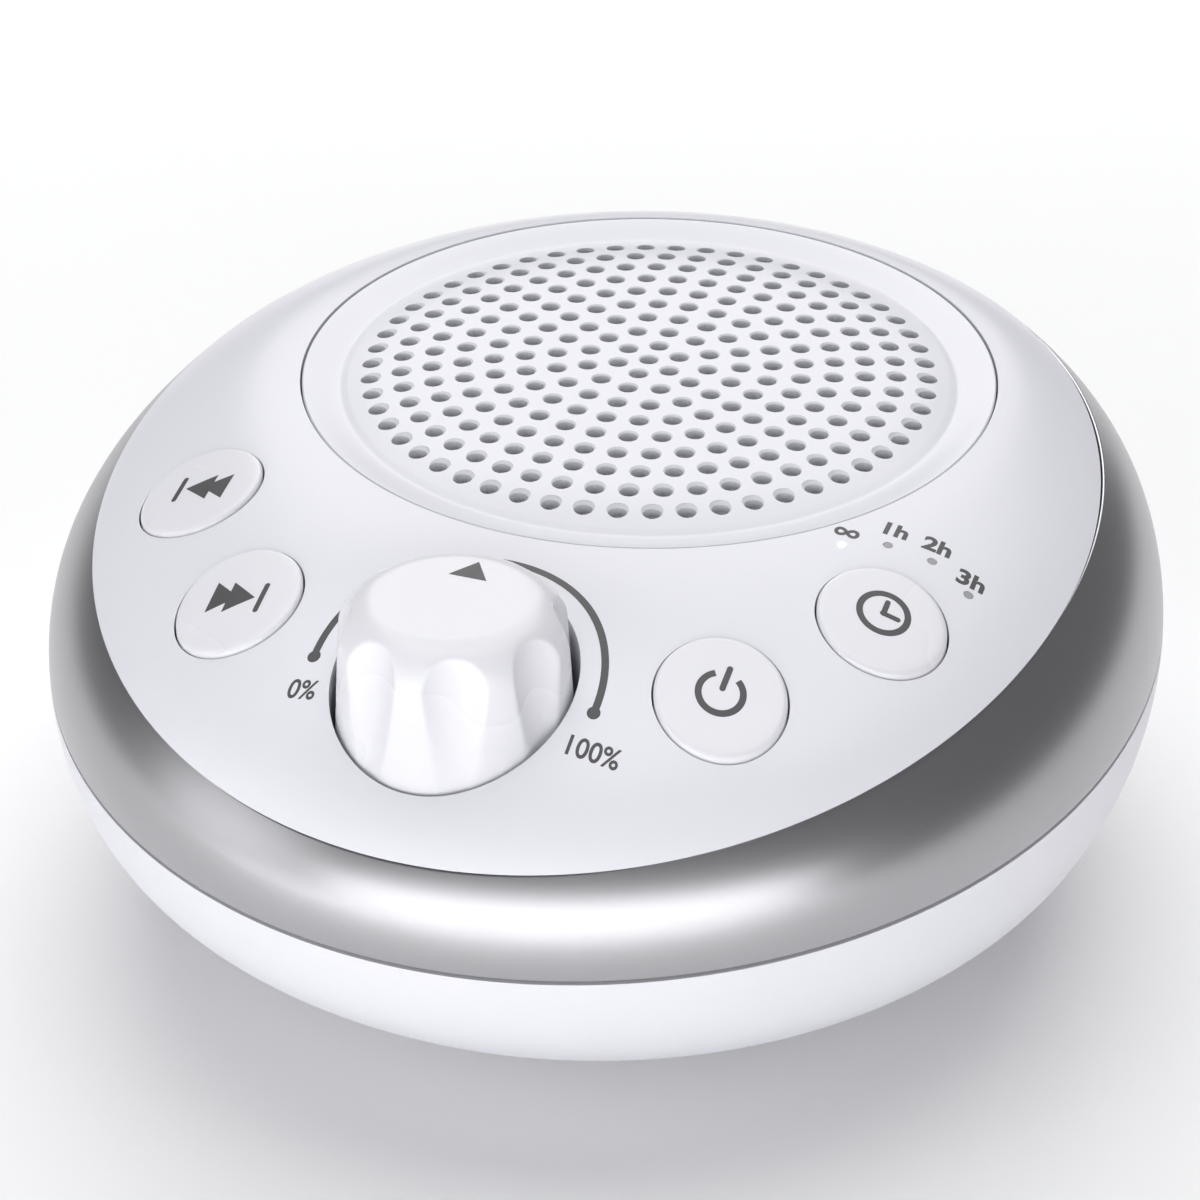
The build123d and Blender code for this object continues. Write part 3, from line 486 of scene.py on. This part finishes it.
for x, y in hole_places:
    top = dome(sqrt(x * x + (y - grille_y) ** 2))
    rows = [ring(r, top + h, x, y, 20) for r, h in (
        (0, -hole_reach), (hole_radius, -hole_reach), (hole_radius, -hole_flare / 2),
        (hole_radius + hole_flare, hole_flare / 2), (hole_radius + hole_flare, 0.8), (0, 0.8),
    )]
    hole = woven(rows)
    hole_mesh = bpy.data.meshes.new("hole")
    hole.to_mesh(hole_mesh)
    hole_cutter.from_mesh(hole_mesh)
    hole.free()
    bpy.data.meshes.remove(hole_mesh)
carve(grille, piece("hole_cutter", hole_cutter), "DIFFERENCE")
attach(grille, "housing")
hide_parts("speaker_grille")
print("grille holes", len(hole_places), "faces", len(grille.data.polygons))

# %% [markdown]
# ## The keys
# Each key is a round cap that stands half a millimetre over the slope and follows it. Its rings
# are dropped onto the panel by a ray from above, and the outermost rings turn down in a small
# radius, so no bevel is needed.

# %% Keys
key_round, key_stand = 0.5, 0.5
key_foot, key_inner = -2.4, 5.1
key_turn = [
    (key_round * (1 - cos(radians(a))), key_round * sin(radians(a))) for a in (0, 15, 30, 45, 60, 75, 90)
]
keys = {}
for name, (x, y) in button_places.items():
    outline = [(r, key_stand) for r in (0, 1, 2, 3, 4, 5, 5.5)]
    outline += [(button_radius - key_round + up, key_stand - across) for across, up in key_turn]
    outline += [(button_radius, -1.0), (button_radius, key_foot), (key_inner, key_foot)]
    outline += [(key_inner, -1.3), (0, -1.3)]
    key = piece(name + "_key_cap", woven(draped_rows(x, y, outline, 120)), 50)
    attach(key, name + "_key")
    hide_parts(name + "_button")
    keys[name] = key
print("keys", len(keys))

# %% [markdown]
# ## The volume knob
# The knob is a short round grip with eight finger flutes that lean inwards towards the top. A
# flute is what a leaning round bar leaves when it is pressed into the side, and clay would give
# way softly at its rim. So each point is moved inwards until it is outside the bar, with a small
# soft corner where the flute meets the grip.

# %% Volume knob
flute_count, flute_radius = 8, 5.0
flute_top, flute_foot = (9.5, 54.47), (11.85, 39.5)
knob_columns, knob_corner = 384, 0.18
knob_foot, knob_brow, knob_top = 38.0, 50.7, 55.3
knob_round = knob_top - knob_brow
lean = (flute_top[0] - flute_foot[0]) / (flute_top[1] - flute_foot[1])
lean_angle = np.arctan(lean)


def fluted(radius, z, count=knob_columns, corner=knob_corner):
    """A ring at a height, pressed in by the flutes."""
    angle = np.arange(count) * 2 * pi / count
    sector = 2 * pi / flute_count
    off = (angle % sector) - sector / 2
    inner = flute_top[0] + (z - flute_top[1]) * lean
    centre = inner + flute_radius / cos(lean_angle)
    low, high = np.full(count, radius * 0.4), np.full(count, float(radius) + 0.01)
    for _ in range(30):
        middle = (low + high) / 2
        across = (middle * np.cos(off) - centre) * cos(lean_angle)
        into_bar = flute_radius - np.hypot(across, middle * np.sin(off))
        past_skin = middle - radius
        mix = np.maximum(corner - np.abs(into_bar - past_skin), 0) / corner
        outside = np.maximum(into_bar, past_skin) + mix * mix * corner / 4 > 0
        high = np.where(outside, middle, high)
        low = np.where(outside, low, middle)
    return np.stack([low * np.sin(angle), knob_y + low * np.cos(angle), np.full(count, float(z))], axis=1)


knob_rows = [
    fluted(11.8 - 0.3 * (z - knob_foot) / (knob_brow - knob_foot), z)
    for z in (knob_foot, 38.15, 40, 42, 44, 46, 47.5, 48.8, 50.0, knob_brow)
]
for turn in range(6, 91, 4):
    arc = radians(turn)
    knob_rows.append(fluted(6.9 + knob_round * cos(arc), knob_brow + knob_round * sin(arc)))
knob_rows += [ring(r, knob_top, y=knob_y, count=knob_columns) for r in (6.4, 4.5, 2.2, 0)]
knob_under = [(10.2, knob_foot), (7.8, 53.5), (5.0, 53.5), (5.0, 38.6), (3.05, 38.6), (3.05, 47.7), (0, 47.7)]
knob_rows = [ring(r, z, y=knob_y, count=knob_columns) for r, z in knob_under[::-1]] + knob_rows
knob = piece("volume_knob_grip", woven(knob_rows), 50)
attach(knob, "volume_control")
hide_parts("volume_knob")
print("knob faces", len(knob.data.polygons))

# %% [markdown]
# ## Printed signs
# The signs are ink, a few hundredths of a millimetre thick. Each is drawn flat as a thin plate,
# cut finely enough to bend, and then dropped onto the surface that it is printed on, so it has
# real edges and stays sharp from any distance.

# %% Signs
ink, ink_sink, ink_mesh = 0.03, 0.01, 0.7


def strip(path, width, closed=False):
    """A thin plate of even width along a path of points in the plane."""
    bm = bmesh.new()
    count = len(path)
    bmesh.ops.create_grid(bm, x_segments=1, y_segments=count - 1, size=1)
    bm.verts.ensure_lookup_table()
    for i, (x, y) in enumerate(path):
        before = path[(i - 1) % count] if closed or i else path[0]
        after = path[(i + 1) % count] if closed or i < count - 1 else path[-1]
        along = Vector((after[0] - before[0], after[1] - before[1])).normalized()
        side = Vector((-along.y, along.x)) * width / 2
        bm.verts[2 * i].co = Vector((x + side.x, y + side.y, 0)) * mm
        bm.verts[2 * i + 1].co = Vector((x - side.x, y - side.y, 0)) * mm
    return bm


def arc_path(radius, start, end, steps, x=0.0, y=0.0):
    """Points on an arc, by angles in degrees from +X."""
    angles = [radians(start + (end - start) * i / steps) for i in range(steps + 1)]
    return [(x + radius * cos(a), y + radius * sin(a)) for a in angles]


def blank(sides, radius, x=0.0, y=0.0, turn=0.0):
    """A flat plate with an even outline."""
    bm = bmesh.new()
    place = Matrix.Translation(Vector((x, y, 0)) * mm) @ Matrix.Rotation(radians(turn), 4, "Z")
    bmesh.ops.create_circle(bm, cap_ends=True, segments=sides, radius=radius * mm, matrix=place)
    return bm


def bar(width, height, x=0.0, y=0.0):
    """A flat upright bar."""
    bm = bmesh.new()
    bmesh.ops.create_grid(bm, x_segments=1, y_segments=1, size=0.5)
    bmesh.ops.scale(bm, vec=Vector((width, height, 1)) * mm, verts=bm.verts)
    bmesh.ops.translate(bm, vec=Vector((x, y, 0)) * mm, verts=bm.verts)
    return bm


def wedge(width, height, x=0.0, y=0.0):
    """A triangle that points along +X, with its middle at x, y."""
    bm = bar(width, height, x, y)
    tip = [v for v in bm.verts if v.co.x > x * mm]
    bmesh.ops.pointmerge(bm, verts=tip, merge_co=Vector((x + width / 2, y, 0)) * mm)
    return bm


def letters(words, size, x, y, stretch=1.0, boldness=0.03):
    """Words as a flat plate, with their middle at x, y."""
    curve = bpy.data.curves.new("words", "FONT")
    curve.body = words
    curve.size = size * mm
    curve.align_x, curve.align_y = "CENTER", "CENTER"
    curve.offset = boldness * size * mm
    curve.resolution_u = 6
    holder = bpy.data.objects.new("words", curve)
    bpy.context.scene.collection.objects.link(holder)
    bpy.context.view_layer.update()
    flat = bpy.data.meshes.new_from_object(holder.evaluated_get(bpy.context.evaluated_depsgraph_get()))
    bm = bmesh.new()
    bm.from_mesh(flat)
    bmesh.ops.remove_doubles(bm, verts=bm.verts, dist=1e-7)
    bmesh.ops.scale(bm, vec=(stretch, 1, 1), verts=bm.verts)
    bmesh.ops.translate(bm, vec=Vector((x, y, 0)) * mm, verts=bm.verts)
    bpy.data.objects.remove(holder)
    bpy.data.curves.remove(curve)
    bpy.data.meshes.remove(flat)
    return bm


def printed(name, plates, x, y, surface, body, slot):
    """Joins flat plates, lays them on a surface round x, y and gives them the ink's thickness."""
    bm = bmesh.new()
    for plate in plates:
        part = bpy.data.meshes.new("plate")
        plate.to_mesh(part)
        plate.free()
        bm.from_mesh(part)
        bpy.data.meshes.remove(part)
    bmesh.ops.triangulate(bm, faces=bm.faces)
    for _ in range(5):
        long_edges = [e for e in bm.edges if e.calc_length() > ink_mesh * mm]
        if not long_edges:
            break
        bmesh.ops.subdivide_edges(bm, edges=long_edges, cuts=1)
        bmesh.ops.triangulate(bm, faces=bm.faces)
    bmesh.ops.recalc_face_normals(bm, faces=bm.faces)
    for face in bm.faces:
        if face.normal.z < 0:
            face.normal_flip()
    for vert in bm.verts:
        px, py = vert.co.x / mm + x, vert.co.y / mm + y
        vert.co = Vector((px, py, surface(px, py) - ink_sink)) * mm
    grown = bmesh.ops.extrude_face_region(bm, geom=bm.faces[:])
    top = [e for e in grown["geom"] if isinstance(e, bmesh.types.BMVert)]
    bmesh.ops.translate(bm, vec=Vector((0, 0, ink * mm)), verts=top)
    bmesh.ops.recalc_face_normals(bm, faces=bm.faces)
    made = piece(name, bm)
    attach(made, body)
    return made


def key_surface(x, y):
    """The height of a key's face."""
    return panel_height(x, y) + key_stand


label_size = 2.7
label_places = [(29.9, -12.3), (34.15, -9.85), (38.7, -10.0), (42.9, -12.5)]


def rounded_bar(length, width, x, y, turn=0.0):
    """A bar with round ends, with its middle at x, y."""
    reach = (length - width) / 2
    path = [(x - reach * cos(radians(turn)), y - reach * sin(radians(turn)))]
    path.append((x + reach * cos(radians(turn)), y + reach * sin(radians(turn))))
    return [strip(path, width), blank(20, width / 2, *path[0]), blank(20, width / 2, *path[1])]


ring_stroke = 0.66
for name, turn in (("previous", pi), ("next", 0)):
    plates = [wedge(2.94, 3.6, -1.55, 0), wedge(2.94, 3.6, 0.28, 0)] + rounded_bar(3.6, 0.55, 2.46, 0, 90)
    for plate in plates:
        bmesh.ops.rotate(plate, cent=(0, 0, 0), matrix=Matrix.Rotation(turn, 3, "Z"), verts=plate.verts)
    printed(name + "_sign", plates, *button_places[name], key_surface, name + "_key", "button_plastic")

plates = [strip(arc_path(2.16, 122, 418, 60), ring_stroke)] + rounded_bar(2.9, 0.6, 0, 1.65, 90)
printed("power_sign", plates, *button_places["power"], key_surface, "power_key", "button_plastic")
plates = [strip(arc_path(2.38, 0, 360, 72, 0, 0.5), ring_stroke)]
plates += rounded_bar(2.1, 0.55, 0, 1.15, 90) + rounded_bar(2.1, 0.55, 0.7, 0.4)
printed("timer_sign", plates, *button_places["timer"], key_surface, "timer_key", "button_plastic")

scale_radius, dot_radius = 14.5, 0.66
scale_plates = [strip(arc_path(scale_radius, -2.5, 182.5, 90), 0.74)]
scale_plates += [blank(24, dot_radius, 14.48, -0.63), blank(24, dot_radius, -14.48, -0.63)]
scale_plates += [
    letters("0%", 2.75, -14.2, -4.3, 0.92, 0.014),
    letters("100%", 2.75, 15.6, -4.4, 0.95, 0.014),
]
printed("volume_scale", scale_plates, 0, knob_y, panel_height, "housing", "panel_plastic")

endless_x, endless_y = label_places[0][0] - timer_x, label_places[0][1] - timer_y
label_plates = [
    strip([
        (endless_x + 1.1 * sin(a) / (1 + cos(a) ** 2), endless_y + 1.36 * sin(a) * cos(a) / (1 + cos(a) ** 2))
        for a in np.linspace(0, 2 * pi, 73)
    ], 0.4)
]
for (x, y), words in zip(label_places[1:], ("1h", "2h", "3h")):
    label_plates.append(letters(words, label_size, x - timer_x, y - timer_y, 1.12, 0.035))
printed("timer_labels", label_plates, timer_x, timer_y, panel_height, "housing", "panel_plastic")

pointer = bmesh.new()
bmesh.ops.create_circle(pointer, cap_ends=True, segments=3, radius=2.25 * mm)
bmesh.ops.scale(pointer, vec=(1.0, 0.9, 1), verts=pointer.verts)
pointer_y = knob_y + 4.85
printed("knob_pointer", [pointer], 0.0, pointer_y, lambda px, py: knob_top, "volume_control", "knob_plastic")
print("signs are printed")

# %% [markdown]
# ## Shader maths in plain words
# A material is a small net of nodes. These two classes let it be written as ordinary sums: a
# `Flow` is one number that changes over the surface, and a `Finish` is the material that owns it.

# %% Shader helpers
class Flow:
    """A number that changes over the surface, which can be used in sums."""

    def __init__(self, finish, socket):
        self.finish, self.socket = finish, socket

    def __add__(self, other):
        return self.finish.sum("ADD", self, other)

    def __radd__(self, other):
        return self.finish.sum("ADD", other, self)

    def __sub__(self, other):
        return self.finish.sum("SUBTRACT", self, other)

    def __rsub__(self, other):
        return self.finish.sum("SUBTRACT", other, self)

    def __mul__(self, other):
        return self.finish.sum("MULTIPLY", self, other)

    def __rmul__(self, other):
        return self.finish.sum("MULTIPLY", other, self)

    def over(self, edge, softness):
        """From 0 to 1 where the number passes an edge."""
        return self.finish.node(
            "ShaderNodeMapRange", {"clamp": True},
            {"Value": self, "From Min": edge - softness, "From Max": edge + softness},
        )


class Finish:
    """A material with a Principled shader, built from plain words."""

    def __init__(self, name, colour, roughness, metallic=0.0, **fixed):
        self.material = bpy.data.materials.new(name)
        self.material.use_nodes = True
        self.tree = self.material.node_tree
        self.shader = self.tree.nodes["Principled BSDF"]
        self.set("Base Color", colour)
        self.set("Roughness", roughness)
        self.set("Metallic", metallic)
        for socket, value in fixed.items():
            self.set(socket.replace("_", " "), value)
        self.place = self.tree.nodes.new("ShaderNodeTexCoord").outputs["Object"]

    def set(self, socket, value):
        """Gives a socket of the shader a value or a link."""
        self.feed(self.shader.inputs[socket], value)

    def feed(self, socket, value):
        if isinstance(value, Flow):
            value = value.socket
        if isinstance(value, bpy.types.NodeSocket):
            self.tree.links.new(value, socket)
        elif isinstance(value, (tuple, list)) and len(value) == 3 and len(socket.default_value) == 4:
            socket.default_value = (*value, 1.0)
        else:
            socket.default_value = value

    def node(self, kind, settings, inputs, output=0):
        """Any node: its settings first, then the values or links of its sockets."""
        made = self.tree.nodes.new(kind)
        for key, value in settings.items():
            setattr(made, key, value)
        for key, value in inputs.items():
            self.feed(made.inputs[key], value)
        return Flow(self, made.outputs[output])

    def sum(self, operation, first, second):
        return self.node("ShaderNodeMath", {"operation": operation}, {0: first, 1: second})

    def noise(self, per_metre, detail=2.0, stretch=(1, 1, 1)):
        """A cloudy number from 0 to 1, with so many clouds to the metre."""
        spot = self.node("ShaderNodeMapping", {}, {"Vector": self.place, "Scale": stretch})
        return self.node("ShaderNodeTexNoise", {}, {"Vector": spot, "Scale": per_metre, "Detail": detail})

    def cells(self, per_metre, output="Distance"):
        """The distance to the nearest of many scattered points."""
        return self.node("ShaderNodeTexVoronoi", {}, {"Vector": self.place, "Scale": per_metre}, output)

    def blend(self, share, first, second):
        """A colour between two."""
        made = self.tree.nodes.new("ShaderNodeMix")
        made.data_type = "RGBA"
        self.feed(made.inputs[0], share)
        self.feed(made.inputs[6], first)
        self.feed(made.inputs[7], second)
        return made.outputs[2]

    def relief(self, height, depth):
        """Dents the surface by a height, whose full step is depth in millimetres."""
        bump = self.node("ShaderNodeBump", {}, {"Height": height, "Distance": depth * mm, "Strength": 1.0})
        self.set("Normal", bump)


def dress(material, *names):
    """Gives pieces a material, by object or by node name."""
    for name in names:
        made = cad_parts[name] if isinstance(name, str) else name
        made.data.materials.clear()
        made.data.materials.append(material)


# %% [markdown]
# ## White moulded plastic
# The panel, grille, keys and knob are one glossy white plastic with a cool tint. Up close it has
# a faint orange-peel ripple, a roughness that changes in soft clouds, and a little dust. The base
# is the same plastic from a mould with a finer, duller texture.

# %% White plastics
def white_plastic(name, colour, roughness, ripple, grain):
    finish = Finish(name, colour, roughness, IOR=1.5)
    clouds = finish.noise(38, 3.0)
    fine = finish.noise(2600, 2.0)
    peel = finish.noise(420, 1.0)
    dust = finish.cells(900).over(0.035, 0.012)
    shade = tuple(c * 0.985 for c in colour)
    finish.set("Base Color", finish.blend(clouds.over(0.5, 0.4), colour, shade))
    finish.set("Roughness", roughness + (clouds - 0.5) * 0.08 + (1 - dust) * 0.18)
    finish.relief(peel * ripple + fine * grain, 0.02)
    return finish.material


panel_white = white_plastic("panel white", (0.74, 0.74, 0.79), 0.30, 0.35, 0.10)
knob_white = white_plastic("knob white", (0.76, 0.76, 0.80), 0.27, 0.30, 0.08)
base_white = white_plastic("base white", (0.78, 0.78, 0.83), 0.42, 0.20, 0.45)
dress(panel_white, panel, grille)
dress(knob_white, knob, *keys.values())
dress(base_white, base)
print("white plastics", panel_white.name, knob_white.name, base_white.name)

# %% [markdown]
# ## The metallic band
# The band is plastic under silver lacquer. Tiny flakes lie at slightly different angles, which
# makes it sparkle finely, and the lacquer over them is a thin clear coat.

# %% Silver lacquer
silver = Finish("silver lacquer", (0.45, 0.45, 0.465), 0.34, 1.0, Coat_Weight=0.1, Coat_Roughness=0.3)
clouds = silver.noise(30, 2.0)
silver.set("Roughness", 0.30 + clouds * 0.05)
silver.set("Base Color", silver.blend(clouds.over(0.5, 0.2), (0.455, 0.455, 0.473), (0.435, 0.435, 0.452)))
silver.relief(silver.noise(5200, 1.0), 0.004)
dress(silver.material, band)
print("band finish", silver.material.name)

# %% [markdown]
# ## Ink, lights and the parts underneath
# The signs are a flat dark grey ink. The first light is lit. The feet, sockets and screws are
# ordinary rubber, black plastic and plated steel.

# %% Small finishes
ink_grey = Finish("ink grey", (0.062, 0.062, 0.066), 0.5)
ink_grey.set("Roughness", 0.44 + ink_grey.noise(900, 2.0) * 0.14)
for name in (
    "previous_sign", "next_sign", "power_sign", "timer_sign", "volume_scale", "timer_labels", "knob_pointer",
):
    dress(ink_grey.material, bpy.data.objects[name])


def plain_finish(name, colour, roughness, metallic=0.0, scale=600, depth=0.02, change=0.12, **fixed):
    """An ordinary finish: a colour that varies a little, and a fine grain."""
    finish = Finish(name, colour, roughness, metallic, **fixed)
    grain = finish.noise(scale, 3.0)
    patch = finish.noise(scale / 12, 2.0)
    darker = tuple(c * (1 - change) for c in colour)
    finish.set("Base Color", finish.blend(patch.over(0.5, 0.2), colour, darker))
    finish.set("Roughness", roughness * 0.85 + grain * (roughness * 0.3))
    finish.relief(grain, depth)
    return finish.material


dress(plain_finish("foot rubber", (0.035, 0.035, 0.037), 0.75, scale=1800, depth=0.05), "rubber_feet")
dress(plain_finish("socket plastic", (0.02, 0.02, 0.021), 0.45), "power_inlet", "headphone_socket")
dress(
    plain_finish("screw steel", (0.55, 0.55, 0.56), 0.3, 1.0),
    "housing_screws", "board_screws", "speaker_screws",
)
dress(plain_finish("switch steel", (0.5, 0.5, 0.5), 0.35, 1.0), "tact_switches", "potentiometer_body")
dress(plain_finish("shaft metal", (0.7, 0.7, 0.71), 0.3, 1.0), "potentiometer_shaft")
dress(
    plain_finish("plunger plastic", (0.02, 0.02, 0.02), 0.4),
    "previous_plunger", "next_plunger", "power_plunger", "timer_plunger", "sound_chip", "capacitors",
)
dress(plain_finish("solder mask", (0.015, 0.11, 0.045), 0.3, scale=900), "control_board", "main_board")
dress(plain_finish("speaker steel", (0.03, 0.03, 0.03), 0.4, 0.3), "speaker_frame", "speaker_magnet")
dress(plain_finish("cone paper", (0.03, 0.03, 0.03), 0.8, depth=0.1), "speaker_cone", "speaker_dust_cap")
dress(plain_finish("surround rubber", (0.02, 0.02, 0.02), 0.6), "speaker_surround", "speaker_gasket")
dress(plain_finish("led resin", (0.8, 0.7, 0.35), 0.3), "timer_leds")

cloth = Finish("grille cloth", (0.74, 0.74, 0.77), 0.9)
weave = cloth.node("ShaderNodeTexWave", {"bands_direction": "X"}, {"Vector": cloth.place, "Scale": 900.0})
weft = cloth.node("ShaderNodeTexWave", {"bands_direction": "Y"}, {"Vector": cloth.place, "Scale": 900.0})
cloth.set("Base Color", cloth.blend(weave * weft, (0.66, 0.66, 0.69), (0.82, 0.82, 0.85)))
cloth.relief(weave + weft, 0.05)
dress(cloth.material, "grille_cloth")

dress(plain_finish("light guide", (0.30, 0.30, 0.315), 0.2), "timer_light_guide")
lit = Finish("lit light", (0.9, 0.9, 0.95), 0.3, Emission_Color=(0.93, 0.95, 1.0, 1.0), Emission_Strength=4.0)
lit.set("Base Color", lit.blend(lit.noise(900).over(0.5, 0.2), (0.9, 0.9, 0.95), (0.86, 0.86, 0.93)))
first_x, first_y = light_places[0]
glow_rows = draped_rows(first_x, first_y, [(0, 0.06), (0.3, 0.06), (0.44, 0.03), (0.44, -0.3), (0, -0.3)], 32)
glow = piece("lit_light", woven(glow_rows))
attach(glow, "housing")
dress(lit.material, glow)
print("finishes in all", len(bpy.data.materials))

# %% [markdown]
# ## The studio
# A pale floor, and five soft lamps: a large one above, a wide low one in front, which is the
# bright streak in the band, small ones at the left and behind, and a narrow one over the floor in
# front. The camera looks down at about 32 degrees with a long lens.

# %% Studio
floor_bm = bmesh.new()
bmesh.ops.create_grid(floor_bm, x_segments=2, y_segments=2, size=6)
floor = piece("floor", floor_bm)
floor_paint = Finish("floor paint", (0.95, 0.95, 0.95), 0.8)
floor_paint.set("Roughness", 0.78 + floor_paint.noise(4, 2.0) * 0.06)
dress(floor_paint.material, floor)


def soft_light(name, place, aim, size, power, tint=(1, 1, 1)):
    """A large square lamp that faces a point."""
    lamp = bpy.data.lights.new(name, "AREA")
    lamp.shape = "RECTANGLE"
    lamp.size, lamp.size_y = size
    lamp.energy = power
    lamp.color = tint
    holder = bpy.data.objects.new(name, lamp)
    bpy.context.scene.collection.objects.link(holder)
    holder.location = place
    holder.rotation_euler = (Vector(aim) - Vector(place)).to_track_quat("-Z", "Y").to_euler()
    return holder


soft_light("key", (-0.1, 0.38, 1.1), (0, 0, 0.03), (1.3, 1.3), 11.2)
soft_light("front", (0.22, -0.9, 0.24), (0, 0, 0.05), (1.85, 0.44), 6.8)
soft_light("left", (-0.75, -0.55, 0.28), (0, 0, 0.06), (0.5, 0.5), 1.1)
soft_light("rear", (-0.34, 0.95, 0.62), (0, 0, 0.03), (0.8, 0.6), 3.4)
floor_light = soft_light("floor front", (0.1, -0.48, 0.5), (0.1, -0.41, 0), (1.1, 0.1), 3.3)
floor_light.data.spread = radians(58)
world = bpy.data.worlds.new("studio")
bpy.context.scene.world = world
world.use_nodes = True
world.node_tree.nodes["Background"].inputs["Color"].default_value = (0.93, 0.94, 0.97, 1)
world.node_tree.nodes["Background"].inputs["Strength"].default_value = 0.2
bpy.context.scene.view_settings.view_transform = "Standard"

eye = bpy.data.cameras.new("camera")
eye.lens, eye.sensor_width = 106.3, 36.0
camera = bpy.data.objects.new("camera", eye)
bpy.context.scene.collection.objects.link(camera)
camera.location = (0.11078, -0.30646, 0.23272)
look = Vector((-0.2905, 0.7976, -0.5288))
camera.rotation_euler = look.to_track_quat("-Z", "Y").to_euler()
bpy.context.scene.camera = camera
print("lamps", len(bpy.data.lights))
